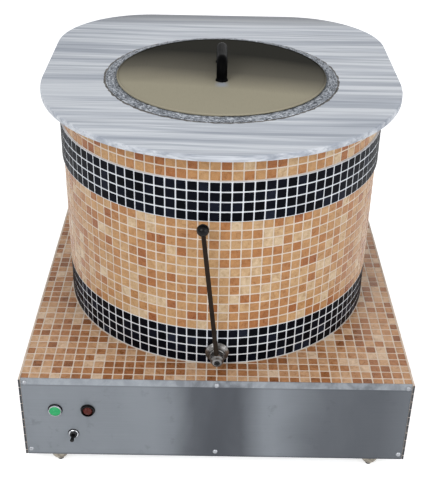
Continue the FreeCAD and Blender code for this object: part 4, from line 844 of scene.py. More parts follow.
@dataclass
class Tiler:
    """Lays single bevelled tiles into one mesh, each with its own shade and tilt."""

    seed: int
    mix: tuple[float, ...]
    gap: float = 0.0027
    bevel: float = 0.0006
    thickness: float = 0.0035
    tilt: float = 0.4
    corner: float = 0.0011
    widest_corner: float = 0.45
    drop: tuple[float, float] = (0.0002, 0.0005)
    nudge: float = 0.0002
    cut_drop: float = 0.0003
    least_reach: float = 0.004
    # How strongly painted shade darkens a tile's sides and its bevel.
    side_mark: float = 1.0
    bevel_mark: float = 0.6

    def __post_init__(self) -> None:
        """Start an empty mesh with its layers, and set the levels of a tile's three outlines."""
        self.mesh = bmesh.new()
        self.shade = self.mesh.faces.layers.float.new("shade")
        self.edge = self.mesh.faces.layers.float.new("edge")
        self.draw = random.Random(self.seed)
        self.levels = ((-self.thickness, 0.0), (-self.bevel, 0.0), (0.0, self.bevel))

    def pick(self) -> float:
        """Draw a shade of 0 to 1 from the mix."""
        step = self.draw.choices(range(len(self.mix)), self.mix)[0]
        return (step + self.draw.uniform(0.1, 0.9)) / len(self.mix)

    def lay(self, place: Matrix, width: float, height: float) -> None:
        """Lay one whole tile.

        Args:
            place: Its middle on the finished surface, with local Z outwards.
            width: Width along local X.
            height: Height along local Y.
        """
        shade = self.pick()
        wobble = math.radians(self.tilt)
        lean = Matrix.Rotation(self.draw.uniform(-wobble, wobble), 4, "X")
        lean @= Matrix.Rotation(self.draw.uniform(-wobble, wobble), 4, "Y")
        drop = self.draw.uniform(*self.drop)
        frame = place @ Matrix.Translation((0, 0, -drop)) @ lean
        nudge = self.draw.uniform(-self.nudge, self.nudge)
        rings = []
        for level, inset in self.levels:
            half_x = width / 2 - inset
            half_y = height / 2 - inset
            cut = min(self.corner, half_x * self.widest_corner, half_y * self.widest_corner)
            spots = [(half_x - cut, -half_y), (half_x, -half_y + cut), (half_x, half_y - cut),
                     (half_x - cut, half_y), (-half_x + cut, half_y), (-half_x, half_y - cut),
                     (-half_x, -half_y + cut), (-half_x + cut, -half_y)]
            rings.append([self.mesh.verts.new(frame @ Vector((x + nudge, y, level))) for x, y in spots])
        self._close(rings, shade)

    def lay_cut(self, outline: list[Vector], top: float) -> None:
        """Lay one flat tile of any outline.

        Args:
            outline: Its corners in plan.
            top: Height of its face.
        """
        shade = self.pick()
        middle = sum(outline, Vector((0, 0))) / len(outline)
        reach = max((spot - middle).length for spot in outline)
        if reach < self.least_reach:
            return
        rings = []
        for level, inset in self.levels:
            share = 1.0 - inset / reach
            height = top + level - self.cut_drop
            rings.append([self.mesh.verts.new((*(middle + (spot - middle) * share), height))
                          for spot in outline])
        self._close(rings, shade)

    def _close(self, rings: list[list[bmesh.types.BMVert]], shade: float) -> None:
        """Skin a tile from its three outlines and tag its faces.

        Args:
            rings: Foot, shoulder and face outlines.
            shade: The tile's shade.
        """
        for edge, lower, upper in zip((self.side_mark, self.bevel_mark), rings, rings[1:]):
            for step in range(len(lower)):
                after = (step + 1) % len(lower)
                side = self.mesh.faces.new([lower[step], lower[after], upper[after], upper[step]])
                side[self.shade] = shade
                side[self.edge] = edge
        for corners in (rings[-1], rings[0][::-1]):
            face = self.mesh.faces.new(corners)
            face[self.shade] = shade
            face[self.edge] = 0.0


@dataclass(frozen=True)
class Band:
    """One band of tiles round the drum."""

    name: str
    low: float
    rows: int
    radius: float
    tile: Stuff
    grout: Stuff
    slot: str
    mix: tuple[float, ...]


WALL_MIX = (0.10, 0.18, 0.28, 0.30, 0.14)
DECK_MIX = (0.16, 0.24, 0.28, 0.22, 0.10)
DARK_MIX = (0.30, 0.32, 0.25, 0.13)


@dataclass
class Mosaic:
    """All the tiled surfaces of the oven, as tiles over a grout skin."""

    shop: Workshop
    skin_steps: int = 202
    drum_clearance: float = 0.0012
    hidden_margin: float = 0.002
    rim_inset: float = 0.0052
    front_reach: float = 0.0002
    rear_inset: float = 0.0018
    cut_steps: int = 8
    least_corners: int = 4
    bed_steps: int = 144
    bed_front: float = 0.0053
    side_bevel: float = 0.0008
    bands: tuple[Band, ...] = (
        Band("lower_band", DECK_TOP, 4, DRUM_RADIUS, Stuff.DARK_TILE, Stuff.BAND_GROUT,
             "band_tiles", DARK_MIX),
        Band("field", LOWER_BAND_TOP, 12, DRUM_RADIUS, Stuff.WALL_TILE, Stuff.WALL_GROUT,
             "field_tiles", WALL_MIX),
        Band("upper_band", FIELD_TOP, 4, DRUM_RADIUS + BAND_PROUD, Stuff.DARK_TILE,
             Stuff.BAND_GROUT, "band_tiles", DARK_MIX),
        Band("collar", UPPER_BAND_TOP, 3, DRUM_RADIUS, Stuff.WALL_TILE, Stuff.WALL_GROUT,
             "field_tiles", WALL_MIX),
    )

    def build(self) -> None:
        """Make every tiled surface."""
        for seed, band in enumerate(self.bands, start=11):
            self.drum_band(band, seed)
        self.deck()
        self.deck_grout()
        for side, word in ((-1, "left"), (1, "right")):
            self.base_side(side, word)

    def drum_band(self, band: Band, seed: int) -> None:
        """Make one band of the drum.

        Args:
            band: The band's sizes and finishes.
            seed: Seed of its shades.
        """
        tiler = Tiler(seed, band.mix)
        step = math.tau / DRUM_COLUMNS
        width = band.radius * step - tiler.gap
        for row in range(band.rows):
            height = band.low + (row + 0.5) * PITCH
            for column in range(DRUM_COLUMNS):
                angle = -math.pi / 2 + (column + 0.5) * step
                outward = Vector((math.cos(angle), math.sin(angle), 0))
                side = Vector((-math.sin(angle), math.cos(angle), 0))
                place = Matrix.Translation(outward * band.radius + Vector((0, 0, height)))
                turn = Matrix((side, Vector((0, 0, 1)), outward)).transposed().to_4x4()
                tiler.lay(place @ turn, width, PITCH - tiler.gap)
        piece = self.shop.piece(band.name + "_tiles", tiler.mesh, band.tile, band.slot)
        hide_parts(band.name + "_mosaic")
        skin = bmesh.new()
        face = band.radius - GROUT_DROP
        bore = DRUM_RADIUS - SKIN
        top = band.low + band.rows * PITCH
        lathe(skin, [(bore, band.low), (face, band.low), (face, top), (bore, top), (bore, band.low)],
              self.skin_steps)
        self.shop.piece(band.name + "_grout", skin, band.grout, band.slot)

    def deck(self) -> None:
        """Lay the deck's tiles round the drum, those that meet it cut to fit."""
        tiler = Tiler(21, DECK_MIX)
        clear = DRUM_RADIUS + self.drum_clearance
        half = (PITCH - tiler.gap) / 2
        rim = HALF_BASE - self.rim_inset
        for row in range(BASE_COLUMNS):
            for column in range(BASE_COLUMNS):
                x = (column + 0.5 - BASE_COLUMNS / 2) * PITCH
                y = (row + 0.5 - BASE_COLUMNS / 2) * PITCH
                if math.hypot(abs(x) + half, abs(y) + half) < clear + self.hidden_margin:
                    continue
                low = Vector((max(x - half, -rim), max(y - half, -rim - self.front_reach)))
                high = Vector((min(x + half, rim), min(y + half, HALF_BASE - self.rear_inset)))
                if math.hypot(max(abs(x) - half, 0), max(abs(y) - half, 0)) > clear:
                    middle = (low + high) / 2
                    tiler.lay(Matrix.Translation((*middle, DECK_TOP)), high.x - low.x, high.y - low.y)
                else:
                    outline = self._beside_drum(low, high, clear)
                    if len(outline) >= self.least_corners:
                        tiler.lay_cut(outline, DECK_TOP)
        piece = self.shop.piece("deck_tiles", tiler.mesh, Stuff.DECK_TILE, "base_tiles")
        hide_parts("deck_mosaic")

    def _beside_drum(self, low: Vector, high: Vector, clear: float) -> list[Vector]:
        """The part of a square tile that stands clear of the drum.

        Args:
            low: Its lowest corner in plan.
            high: Its highest corner.
            clear: Radius that it stays outside.

        Returns:
            Its outline in plan, empty where too little is left.
        """
        corners = [low, Vector((high.x, low.y)), high, Vector((low.x, high.y))]
        ring = [start.lerp(end, index / self.cut_steps)
                for start, end in zip(corners, corners[1:] + corners[:1])
                for index in range(self.cut_steps)]
        outline = []
        for spot in ring:
            if spot.length >= clear:
                outline.append(spot)
                continue
            pushed = spot.normalized() * clear
            if low.x <= pushed.x <= high.x and low.y <= pushed.y <= high.y:
                outline.append(pushed)
        kept = sum(spot.length >= clear for spot in ring)
        return outline if kept >= self.least_corners else []

    def deck_grout(self) -> None:
        """Make the deck's grout bed, a square plate with a round hole."""
        skin = bmesh.new()
        steps = self.bed_steps
        bore = DRUM_RADIUS - SKIN
        side = HALF_BASE - SKIN
        front = HALF_BASE - self.bed_front
        loops: list[list[bmesh.types.BMVert]] = [[], [], [], []]
        for step in range(steps):
            angle = math.tau * (step + 0.5) / steps
            ray = Vector((math.cos(angle), math.sin(angle)))
            edge = ray * side / max(abs(ray.x), abs(ray.y))
            edge.y = max(edge.y, -front)
            high = DECK_TOP - GROUT_DROP
            low = DECK_TOP - SKIN
            for loop, spot, height in zip(loops, (ray * bore, edge, edge, ray * bore),
                                          (high, high, low, low)):
                loop.append(skin.verts.new((*spot, height)))
        for inner, outer in zip(loops, loops[1:] + loops[:1]):
            for step in range(steps):
                after = (step + 1) % steps
                skin.faces.new([inner[step], outer[step], outer[after], inner[after]])
        self.shop.piece("deck_grout", skin, Stuff.WALL_GROUT, "base_tiles")

    def base_side(self, side: int, word: str) -> None:
        """Make the tiles and grout of one side of the base.

        Args:
            side: -1 for the left side, 1 for the right.
            word: The side's name.
        """
        tiler = Tiler(31 + side, DECK_MIX)
        turn = Matrix((Vector((0, side, 0)), Vector((0, 0, 1)), Vector((side, 0, 0))))
        turn = turn.transposed().to_4x4()
        high = DECK_TOP - tiler.gap / 2
        while high - BASE_BOTTOM > LEAST_ROW:
            low = max(high - PITCH + tiler.gap, BASE_BOTTOM + tiler.gap / 2)
            for column in range(BASE_COLUMNS):
                y = (column + 0.5 - BASE_COLUMNS / 2) * PITCH
                place = Matrix.Translation((side * HALF_BASE, y, (high + low) / 2)) @ turn
                tiler.lay(place, PITCH - tiler.gap, high - low)
            high -= PITCH
        piece = self.shop.piece("side_tiles_" + word, tiler.mesh, Stuff.DECK_TILE, "base_tiles")
        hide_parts("side_mosaic_" + word)
        skin = bmesh.new()
        thickness = SKIN - GROUT_DROP
        height = DECK_TOP - BASE_BOTTOM
        bmesh.ops.create_cube(skin, size=1.0, matrix=Matrix.LocRotScale(
            Vector((side * (HALF_BASE - SKIN + thickness / 2), 0, BASE_BOTTOM + height / 2)),
            None, Vector((thickness, 2 * HALF_BASE, height))))
        bmesh.ops.bevel(skin, geom=list(skin.edges), offset=self.side_bevel, segments=2, affect="EDGES")
        self.shop.piece("side_grout_" + word, skin, Stuff.WALL_GROUT, "base_tiles")


# ------------------------------------------------------------------ top and mouth

@dataclass
class MarbleTop:
    """The marble slab, its two clips and the mortar line round the mouth ring."""

    shop: Workshop
    line_inner: float = 0.2485
    line_outer: float = 0.2575
    line_waver: float = 0.0036
    waver_radius: float = 0.25
    waver_scale: float = 90.0
    line_height: float = 0.0007
    steps: int = 300

    def build(self) -> None:
        """Dress the slab and lay the mortar line."""
        self.shop.dress(Stuff.MARBLE, "marble_slab")
        self.shop.dress(Stuff.BLACK, "slab_clips")
        mesh = bmesh.new()
        loops: list[list[bmesh.types.BMVert]] = [[], [], []]
        for step in range(self.steps):
            angle = math.tau * step / self.steps
            ray = Vector((math.cos(angle), math.sin(angle), 0))
            eaten = self.line_waver * roughness_at(ray * self.waver_radius, self.waver_scale)
            edge = self.line_outer - eaten
            for loop, radius, height in zip(loops, (self.line_inner, self.line_inner, edge),
                                            (0.0, self.line_height, 0.0)):
                loop.append(mesh.verts.new(ray * radius + Vector((0, 0, SLAB_TOP + height))))
        for first, second in zip(loops, loops[1:] + loops[:1]):
            for step in range(self.steps):
                after = (step + 1) % self.steps
                mesh.faces.new([first[step], second[step], second[after], first[after]])
        self.shop.piece("mortar_line", mesh, Stuff.MORTAR, "refractory")


@dataclass
class Mouth:
    """The rough cast ring round the mouth, and the coiled clay pot below it."""

    shop: Workshop
    mouth_radius: float = 0.206
    ring_radius: float = 0.246
    lip_radius: float = 0.253
    rebate_radius: float = 0.231
    rebate_top: float = RING_TOP - 0.0045
    pot_foot: tuple[float, float] = (0.27413, 0.277)
    pot_shoulder: float = 0.303
    pot_wall: float = 0.038
    coil_pitch: float = 0.024
    coil_depth: float = 0.0016
    chips: tuple[float, ...] = (203.0, 221.0, 242.0, 262.0, 281.0, 301.0, 322.0, 338.0, 20.0, 96.0)
    chip_depth: float = 0.0034
    chip_margin: float = 0.01
    ring_scale: float = 130.0
    pot_scale: float = 22.0
    pot_grain: float = 0.0010
    height_stretch: float = 3.0
    foot_setback: float = 0.004
    outer_bulge: float = 0.48
    inner_bulge: float = 0.442
    outer_steps: int = 24
    inner_steps: int = 90
    steps: int = 360

    def build(self) -> None:
        """Make the ring and the pot."""
        self.ring()
        self.pot()
        self.shop.dress(Stuff.HEARTH, "hearth_plate")
        self.shop.dress(Stuff.FIBRE, "insulation_fill")

    def ring(self) -> None:
        """Cast the ring: its lip and crown are eaten into, and nothing stands proud."""
        top = RING_TOP
        profile = [
            (self.mouth_radius, SLAB_BOTTOM, 0, 0), (self.ring_radius, SLAB_BOTTOM, 0, 0),
            (self.ring_radius, SLAB_TOP, 0, 0), (self.lip_radius, SLAB_TOP, -0.0022, 0),
            (self.lip_radius - 0.0012, SLAB_TOP + 0.0017, -0.0021, -0.0007),
            (self.lip_radius - 0.0040, SLAB_TOP + 0.0027, -0.0018, -0.0014),
            (self.ring_radius - 0.0010, SLAB_TOP + 0.0033, -0.0012, -0.0022),
            (self.ring_radius - 0.0045, SLAB_TOP + 0.0044, 0, -0.0028),
            (self.ring_radius - 0.0070, top, 0, -0.0030), (self.rebate_radius + 0.0068, top, 0, -0.0026),
            (self.rebate_radius + 0.0022, top - 0.0006, 0.0012, -0.0022),
            (self.rebate_radius + 0.0004, top - 0.0026, 0.0016, -0.0010),
            (self.rebate_radius, self.rebate_top, 0.0010, 0),
            (self.rebate_radius - 0.0100, self.rebate_top, 0, -0.0008),
            (self.mouth_radius + 0.0060, self.rebate_top, 0, -0.0012),
            (self.mouth_radius + 0.0018, self.rebate_top - 0.0018, 0.0010, -0.0010),
            (self.mouth_radius, self.rebate_top - 0.0060, 0.0012, 0),
        ]
        mesh = self._eaten(profile, self.ring_scale)
        piece = self.shop.piece("cast_ring", mesh, Stuff.RING, "refractory", smooth_angle=60.0)
        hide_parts("mouth_ring")

    def _eaten(self, profile: Profile, scale: float) -> bmesh.types.BMesh:
        """Turn a profile whose points are pulled by a fractal amount, chipped near the rebate's edge.

        Args:
            profile: Radius, height, and the most that each is pulled.
            scale: Fineness of the fractal, in waves per metre.

        Returns:
            The closed mesh.
        """
        mesh = bmesh.new()
        loops = []
        for radius, height, pull_out, pull_up in profile:
            loop = []
            at_edge = self.rebate_radius < radius < self.ring_radius - self.chip_margin
            chipped = at_edge and pull_out > 0.0
            for step in range(self.steps):
                angle = math.tau * step / self.steps
                ray = Vector((math.cos(angle), math.sin(angle), 0))
                share = roughness_at(ray * radius + Vector((0, 0, height * self.height_stretch)), scale)
                chip = self.chip_depth if chipped and angle_is_chipped(angle, self.chips) else 0.0
                spot = ray * (radius + pull_out * share + chip)
                loop.append(mesh.verts.new((spot.x, spot.y, height + pull_up * share)))
            loops.append(loop)
        for first, second in zip(loops, loops[1:] + loops[:1]):
            for step in range(self.steps):
                after = (step + 1) % self.steps
                mesh.faces.new([first[step], first[after], second[after], second[step]])
        return mesh

    def pot(self) -> None:
        """Build the pot's wall with the soft ridges of its coils on the inside."""
        foot, low = self.pot_foot
        rim = SLAB_BOTTOM - self.pot_wall / 2
        outer = (self.mouth_radius + self.pot_wall, rim)
        inner_foot = foot - self.pot_wall - self.foot_setback
        profile = [(inner_foot, low, 0, 0), (foot, low, 0, 0), (foot, self.pot_shoulder, 0, 0)]
        profile += [(*spot, 0, 0) for spot in arc((foot, self.pot_shoulder), outer,
                                                  self.outer_bulge, self.outer_steps)]
        profile += [(outer[0], SLAB_BOTTOM, 0, 0), (self.mouth_radius, SLAB_BOTTOM, 0.0006, 0),
                    (self.mouth_radius, rim, 0.0008, 0)]
        for radius, height in arc((self.mouth_radius, rim), (inner_foot, self.pot_shoulder),
                                  self.inner_bulge, self.inner_steps):
            ridge = 0.5 - 0.5 * math.cos(math.tau * (rim - height) / self.coil_pitch)
            profile.append((radius + self.coil_depth * ridge, height, self.pot_grain, 0))
        mesh = self._eaten(profile, self.pot_scale)
        piece = self.shop.piece("coiled_pot", mesh, Stuff.CLAY, "fired_clay", smooth_angle=50.0)
        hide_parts("clay_pot")


@dataclass
class Lid:
    """The lid, its handle and the handle's screws, in the shapes that the CAD model gives."""

    shop: Workshop

    def build(self) -> None:
        """Dress the lid's pieces."""
        self.shop.dress(Stuff.LID, "lid_disc")
        self.shop.dress(Stuff.HANDLE, "lid_handle")
        self.shop.dress(Stuff.BRIGHT, "handle_screws")


# ------------------------------------------------------------------ lever and gas

@dataclass
class LeverAndCock:
    """The lever, its boss and hub, and the gas cock behind them."""

    shop: Workshop
    hub_radius: float = 0.014
    nose_radius: float = 0.011
    recess_radius: float = 0.0062
    hub_length: float = 0.021
    hub_bore: float = 0.00605
    bore_depth: float = 0.016
    boss_radius: float = 0.025

    def build(self) -> None:
        """Make the hub and dress the rest."""
        self.hub()
        self.shop.dress(Stuff.BOSS, "boss_flange")
        self.shop.dress(Stuff.LEVER, "lever_rod")
        self.shop.dress(Stuff.KNOB, "lever_knob")
        self.shop.dress(Stuff.BRASS, "cock_plug", "cock_body")

    def hub(self) -> None:
        """Turn the hub with a rounded nose, and set a dark screw into its recess."""
        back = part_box("lever_hub")[1][1]
        axis_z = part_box("boss_flange")[0][2] + self.boss_radius
        place = towards_front(0.0, back, axis_z)
        length = self.hub_length
        mesh = bmesh.new()
        lathe(mesh, [
            (0, self.bore_depth), (self.hub_bore, self.bore_depth), (self.hub_bore, 0),
            (self.hub_radius - 0.0006, 0), (self.hub_radius, 0.0006), (self.hub_radius, length - 0.0085),
            (self.hub_radius - 0.0006, length - 0.0074), (self.nose_radius + 0.0004, length - 0.0054),
            (self.nose_radius, length - 0.0030), (self.nose_radius - 0.0009, length - 0.0009),
            (self.nose_radius - 0.0030, length), (self.recess_radius + 0.0004, length),
            (self.recess_radius, length - 0.0005), (self.recess_radius, length - 0.0026),
            (0, length - 0.0026)], 48, place)
        hub = self.shop.piece("turned_hub", mesh, Stuff.BOSS, "boss_metal", "lever", 40.0)
        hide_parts("lever_hub")
        screw = bmesh.new()
        lathe(screw, [(0, length - 0.0027), (0.0054, length - 0.0027), (0.0054, length - 0.0012),
                      (0.0046, length - 0.0004), (0.0024, length - 0.0003), (0.0024, length - 0.0020),
                      (0, length - 0.0020)], 24, place)
        self.shop.piece("hub_screw", screw, Stuff.BLACK, "black_metal", "lever", 40.0)


@dataclass
class GasLine:
    """Pipes, burner, electrode and the spark box."""

    shop: Workshop

    def build(self) -> None:
        """Dress the gas line's pieces."""
        self.shop.dress(Stuff.PIPE, "supply_pipe", "burner_pipe")
        self.shop.dress(Stuff.IRON, "burner_head", "mixing_tube")
        self.shop.dress(Stuff.BRASS, "jet_block")
        self.shop.dress(Stuff.CHINA, "spark_electrode")
        self.shop.dress(Stuff.BLACK, "spark_box", "cable_gland")
        self.shop.dress(Stuff.FRAME_PAINT, "burner_bracket")


# ------------------------------------------------------------------ controls and cabinet

@dataclass
class Controls:
    """The green button, the red lamp and the toggle switch of the panel."""

    shop: Workshop
    button: tuple[float, float] = (-0.341, DECK_TOP - 0.081)
    lamp: tuple[float, float] = (-0.272, DECK_TOP - 0.081)
    toggle: tuple[float, float] = (-0.306, DECK_TOP - 0.147)
    bezel_radius: float = 0.0138
    # Outer radius of the black rings that stand in for shade round the button and lamp bezels.
    shade_ring_radius: float = 0.0156
    lens_radius: float = 0.0121
    nut_radius: float = 0.0108
    bush_radius: float = 0.0082
    bush_bore: float = 0.0046
    nut_height: float = 0.0036
    ring_gap: float = 0.00004
    facets: int = 24
    block_setback: float = 0.0018
    block_bevel: float = 0.0015
    bat_pivot: float = 0.002
    bat_turn: float = 20.0
    bat_droop: float = 15.0

    def build(self) -> None:
        """Make the black rings that stand in for shade round the bezels, the lens and the toggle switch,
        and dress the rest.
        """
        self.shop.dress(Stuff.BRIGHT, "button_housing")
        self.shop.dress(Stuff.DARK_CHROME, "pilot_lamp_housing")
        self.shop.dress(Stuff.GREEN, "push_button")
        # Black rubber rings round the button and lamp bezels stand in for the shade round them.
        for name, (x, z) in (("button_shade_ring", self.button), ("lamp_shade_ring", self.lamp)):
            mesh = bmesh.new()
            inner = self.bezel_radius + self.ring_gap
            lathe(mesh, [(inner, 0.0001), (self.shade_ring_radius - 0.0003, 0.0001),
                         (self.shade_ring_radius, 0.0005), (self.shade_ring_radius - 0.0002, 0.0012),
                         (inner, 0.0014), (inner, 0.0001)], 48, towards_front(x, -HALF_BASE, z))
            self.shop.piece(name, mesh, Stuff.RUBBER, "housing_black")
        self.lens()
        self.switch()
        self.bat()

    def lens(self) -> None:
        """Mould the lamp's lens with facets that run out from its middle."""
        low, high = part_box("pilot_lens")
        place = towards_front(self.lamp[0], 0.0, self.lamp[1])
        back = -high[1]
        front = -low[1]
        rise = front - back
        mesh = bmesh.new()
        sides = self.facets
        loops = []
        for radius, height, cut in ((self.lens_radius, back, 0),
                                    (self.lens_radius, back + 0.35 * rise, 0),
                                    (self.lens_radius * 0.80, front - 0.22 * rise, 0.0007),
                                    (self.lens_radius * 0.45, front - 0.05 * rise, 0.0006)):
            loops.append([mesh.verts.new(place @ Vector((
                radius * math.cos(math.tau * step / sides), radius * math.sin(math.tau * step / sides),
                height - cut * (step % 2)))) for step in range(sides)])
        tip = mesh.verts.new(place @ Vector((0, 0, front)))
        for first, second in zip(loops, loops[1:]):
            for step in range(sides):
                after = (step + 1) % sides
                mesh.faces.new([first[step], first[after], second[after], second[step]])
        for step in range(sides):
            mesh.faces.new([loops[-1][step], loops[-1][(step + 1) % sides], tip])
        mesh.faces.new(loops[0][::-1])
        lens = self.shop.piece("faceted_lens", mesh, Stuff.RED_LENS, "lens_red", smooth_angle=8.0)
        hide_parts("pilot_lens")

    def switch(self) -> None:
        """Make the toggle's ring nut, its black six-sided bush and the block behind the panel."""
        place = towards_front(self.toggle[0], -HALF_BASE, self.toggle[1])
        nut = bmesh.new()
        bore, top = self.bush_bore, self.nut_height
        lathe(nut, [(bore, 0.0), (self.nut_radius - 0.0004, 0.0), (self.nut_radius, 0.0004),
                    (self.nut_radius, 0.0028), (self.nut_radius - 0.0008, top), (bore, top),
                    (bore, 0.0)], 40, place)
        self.shop.piece("toggle_nut", nut, Stuff.BRIGHT, "bezel_chrome", smooth_angle=40.0)
        # A black rubber ring round the nut stands in for the shade round it.
        shade_ring = bmesh.new()
        inner = self.nut_radius + self.ring_gap
        lathe(shade_ring, [(inner, 0.0001), (self.nut_radius + 0.0014, 0.0001),
                       (self.nut_radius + 0.0014, 0.0009), (inner, 0.0012), (inner, 0.0001)], 40, place)
        self.shop.piece("toggle_shade_ring", shade_ring, Stuff.RUBBER, "housing_black")
        bush = bmesh.new()
        outer = self.bush_radius
        lathe(bush, [(bore, top), (outer, top), (outer + 0.0003, 0.0040), (outer + 0.0003, 0.0070),
                     (outer - 0.0005, 0.0078), (bore, 0.0078), (bore, top)], 6, place)
        self.shop.piece("toggle_bush", bush, Stuff.BLACK, "bezel_chrome", smooth_angle=20.0)
        low, high = (Vector(corner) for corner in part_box("toggle_body"))
        low.y = -HALF_BASE + self.block_setback
        block = bmesh.new()
        bmesh.ops.create_cube(block, size=1.0, matrix=Matrix.LocRotScale(
            (low + high) / 2, None, high - low))
        bmesh.ops.bevel(block, geom=list(block.edges), offset=self.block_bevel, segments=3,
                        affect="EDGES")
        piece = self.shop.piece("toggle_block", block, Stuff.BLACK, "bezel_chrome")
        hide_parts("toggle_body")

    def bat(self) -> None:
        """Make the drooping black bat, which widens towards its round end."""
        turn = Matrix.Rotation(math.radians(self.bat_turn), 4, "Y")
        droop = Matrix.Rotation(math.radians(90 + self.bat_droop), 4, "X")
        pivot = Matrix.Translation((self.toggle[0], -HALF_BASE - self.bat_pivot, self.toggle[1]))
        mesh = bmesh.new()
        lathe(mesh, [(0, -0.0030), (0.0022, -0.0024), (0.0030, -0.0006), (0.0030, 0.0050),
                     (0.0032, 0.0090), (0.0040, 0.0145), (0.0043, 0.0172), (0.0038, 0.0189),
                     (0.0022, 0.0198), (0, 0.0200)], 24, pivot @ turn @ droop)
        bat = self.shop.piece("drooping_bat", mesh, Stuff.BLACK, "black_metal", "toggle", 50.0)
        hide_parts("toggle_bat")


@dataclass
class Cabinet:
    """The base's panels, frame, boards, feet and the dark strips that stand in for shade at the side
    tiles' front ends, and the drum's steel shell.
    """

    shop: Workshop
    # Sizes of the dark strips that stand in for shade at the side tiles' front ends.
    strip_depth: float = 0.0007
    strip_top: float = 0.001
    strip_break: float = 0.0016
    strip_foot: float = 0.0005
    strip_inset: float = 0.0008
    strip_bevel: float = 0.0002

    def build(self) -> None:
        """Turn the feet, run the dark strips of painted shade and dress the rest."""
        self.shop.dress(Stuff.PANEL, "front_panel")
        self.shop.dress(Stuff.MILL_STEEL, "rear_panel", "floor_pan", "drum_shell")
        self.shop.dress(Stuff.SCREW, "panel_screws")
        for side, word in ((-1, "left"), (1, "right")):
            self.shade_strip(side, word)
        self.shop.dress(Stuff.CEMENT, "side_board_left", "side_board_right", "deck_board")
        self.shop.dress(Stuff.RUBBER, "foot_pads")
        for end in ("front", "rear"):
            self.shop.dress(Stuff.FRAME_PAINT, "end_rail_" + end, "deck_beam_" + end)
            for side in ("left", "right"):
                self.shop.dress(Stuff.FRAME_PAINT, f"corner_post_{end}_{side}")
                self.foot(f"foot_{end}_{side}")
        self.shop.dress(Stuff.FRAME_PAINT, "side_rail_left", "side_rail_right")

    def foot(self, node: str) -> None:
        """Turn one bowl-shaped foot in its node's place.

        Args:
            node: The CAD node that it stands for.
        """
        low, high = (Vector(corner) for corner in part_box(node))
        middle = (low + high) / 2
        mesh = bmesh.new()
        lathe(mesh, [(0, 0.0060), (0.0076, 0.0060), (0.0082, 0.0066), (0.0102, 0.0084),
                     (0.0152, 0.0118), (0.0180, 0.0160), (0.0190, 0.0220), (0.0194, 0.0308),
                     (0.0198, 0.0314), (0.0200, 0.0324), (0.0198, 0.0340), (0.0050, 0.0340),
                     (0.0050, high.z), (0, high.z)], 48, Matrix.Translation((middle.x, middle.y, 0)))
        piece = self.shop.piece("turned_" + node, mesh, Stuff.FOOT, "foot_metal", smooth_angle=35.0)
        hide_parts(node)

    def shade_strip(self, side: int, word: str) -> None:
        """Run a thin dark strip of painted shade down the front ends of the side tiles, broken at each
        row.

        Args:
            side: -1 for the left side, 1 for the right.
            word: The side's name.
        """
        mesh = bmesh.new()
        high = DECK_TOP - self.strip_top
        while high - BASE_BOTTOM > LEAST_ROW:
            low = max(high - PITCH + self.strip_break, BASE_BOTTOM + self.strip_foot)
            middle = Vector((side * (HALF_BASE - SKIN / 2), -HALF_BASE - self.strip_depth / 2,
                             (high + low) / 2))
            size = Vector((SKIN - self.strip_inset, self.strip_depth, high - low))
            made = bmesh.ops.create_cube(mesh, size=1.0, matrix=Matrix.LocRotScale(middle, None, size))
            edges = list({edge for vert in made["verts"] for edge in vert.link_edges})
            bmesh.ops.bevel(mesh, geom=edges, offset=self.strip_bevel, segments=1, affect="EDGES")
            high -= PITCH
        self.shop.piece("edge_seal_" + word, mesh, Stuff.SHADE_STRIP, "base_tiles")


# ------------------------------------------------------------------ studio

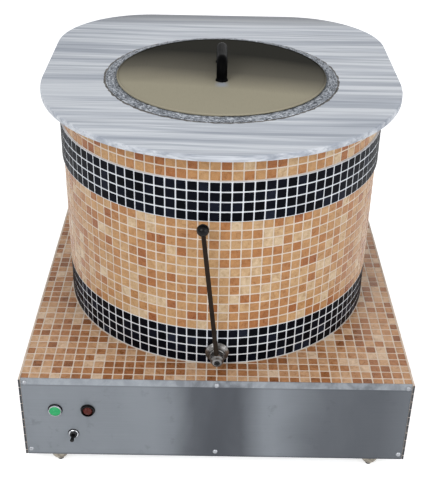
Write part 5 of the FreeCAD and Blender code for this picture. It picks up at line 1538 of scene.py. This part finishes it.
@dataclass
class Studio:
    """Floor, backdrop, lamps and the camera at the photograph's angle."""

    focal_pixels: float = 924.3485
    image_height: int = 480
    pitch: float = 0.5374455
    roll: float = 0.0209258
    yaw: float = 0.0069101
    spot: tuple[float, float, float] = (-0.017934, -1.913630, 1.480121)
    sensor_height: float = 24.0
    clip: tuple[float, float] = (0.05, 60.0)
    aim: tuple[float, float, float] = (0.0, 0.0, 0.4)
    floor_colour: Colour = (0.88, 0.88, 0.88)
    floor_glow: float = 0.62
    floor_reach: float = 9.0
    room_colour: Colour = (0.94, 0.97, 1.0)
    room_light: float = 0.5
    white: Colour = (1.0, 1.0, 1.0)

    def build(self) -> None:
        """Make the studio."""
        self.floor()
        self.world()
        self.lamp("key_lamp", (-1.3, -2.3, 2.2), 1.6, 36.0)
        self.lamp("fill_lamp", (1.9, -1.7, 1.3), 1.8, 22.0)
        self.lamp("top_lamp", (0.0, 0.4, 3.0), 2.0, 5.0)
        self.lamp("back_lamp", (0.4, 2.4, 1.6), 1.8, 9.0)
        self.camera()
        bpy.context.scene.view_settings.view_transform = "Standard"

    @staticmethod
    def shown_white(graph: Graph) -> Socket:
        """1 for the rays that see the backdrop: from the camera, in gloss and through glass.

        Args:
            graph: The graph that holds it.

        Returns:
            The share of white.
        """
        path = {name: graph.add("ShaderNodeLightPath", output=name)
                for name in ("Is Camera Ray", "Is Glossy Ray", "Is Transmission Ray")}
        total = path["Is Camera Ray"] + path["Is Glossy Ray"] + path["Is Transmission Ray"]
        return graph.add("ShaderNodeClamp", inputs={"Value": total})

    def floor(self) -> None:
        """A white floor that keeps the object's shadow and shows as white behind it."""
        graph = Surface("studio_white")
        plain = graph.add("ShaderNodeBsdfDiffuse", inputs={"Color": self.floor_colour})
        glow = graph.add("ShaderNodeEmission", inputs={"Color": self.white, "Strength": self.floor_glow})
        both = graph.add("ShaderNodeAddShader", inputs={0: plain, 1: glow})
        seen = graph.add("ShaderNodeMixShader", inputs={0: self.shown_white(graph), 1: plain, 2: both})
        graph.add("ShaderNodeOutputMaterial", inputs={"Surface": seen})
        mesh = bmesh.new()
        bmesh.ops.create_grid(mesh, x_segments=4, y_segments=4, size=self.floor_reach)
        data = bpy.data.meshes.new("floor")
        mesh.to_mesh(data)
        mesh.free()
        data.materials.append(graph.material)
        floor = bpy.data.objects.new("floor", data)
        bpy.context.scene.collection.objects.link(floor)

    def world(self) -> None:
        """A pale world that is white to the camera and in reflections."""
        world = bpy.data.worlds.new("pale_room")
        bpy.context.scene.world = world
        world.use_nodes = True
        graph = Graph(world.node_tree)
        lighting = graph.add("ShaderNodeBackground", inputs={"Color": self.room_colour,
                                                             "Strength": self.room_light})
        white = graph.add("ShaderNodeBackground", inputs={"Color": self.white, "Strength": 1.0})
        mixed = graph.add("ShaderNodeMixShader", inputs={0: self.shown_white(graph), 1: lighting,
                                                         2: white})
        graph.add("ShaderNodeOutputWorld", inputs={"Surface": mixed})

    def lamp(self, name: str, spot: tuple[float, float, float], size: float, power: float) -> None:
        """Add one square lamp that points at the oven.

        Args:
            name: Its name.
            spot: Where it hangs.
            size: Its side.
            power: Its power in watts.
        """
        light = bpy.data.lights.new(name, "AREA")
        light.size = size
        light.energy = power
        lamp = bpy.data.objects.new(name, light)
        lamp.location = spot
        lamp.rotation_euler = (Vector(self.aim) - Vector(spot)).to_track_quat("-Z", "Y").to_euler()
        bpy.context.scene.collection.objects.link(lamp)

    def camera(self) -> None:
        """Set up the camera fitted to the photograph."""
        data = bpy.data.cameras.new("camera")
        data.sensor_fit = "VERTICAL"
        data.sensor_height = self.sensor_height
        data.lens = self.focal_pixels / self.image_height * data.sensor_height
        data.clip_start, data.clip_end = self.clip
        forward = Vector((math.sin(self.yaw) * math.cos(self.pitch),
                          math.cos(self.yaw) * math.cos(self.pitch), -math.sin(self.pitch)))
        right = Vector((math.cos(self.yaw), -math.sin(self.yaw), 0))
        up = right.cross(forward)
        tilted = right * math.cos(self.roll) + up * math.sin(self.roll)
        upright = up * math.cos(self.roll) - right * math.sin(self.roll)
        camera = bpy.data.objects.new("camera", data)
        camera.matrix_world = Matrix.Translation(self.spot) @ Matrix(
            (tilted, upright, -forward)).transposed().to_4x4()
        bpy.context.scene.collection.objects.link(camera)
        bpy.context.scene.camera = camera


def main() -> None:
    """Build the looks of the oven."""
    logging.basicConfig(level=logging.INFO, format="%(message)s")
    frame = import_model()
    Studio().build()
    shop = Workshop(frame["nodes"])
    for assembly in (Mosaic, MarbleTop, Mouth, Lid, LeverAndCock, GasLine, Controls, Cabinet):
        assembly(shop).build()


if __name__ == "__main__":
    main()
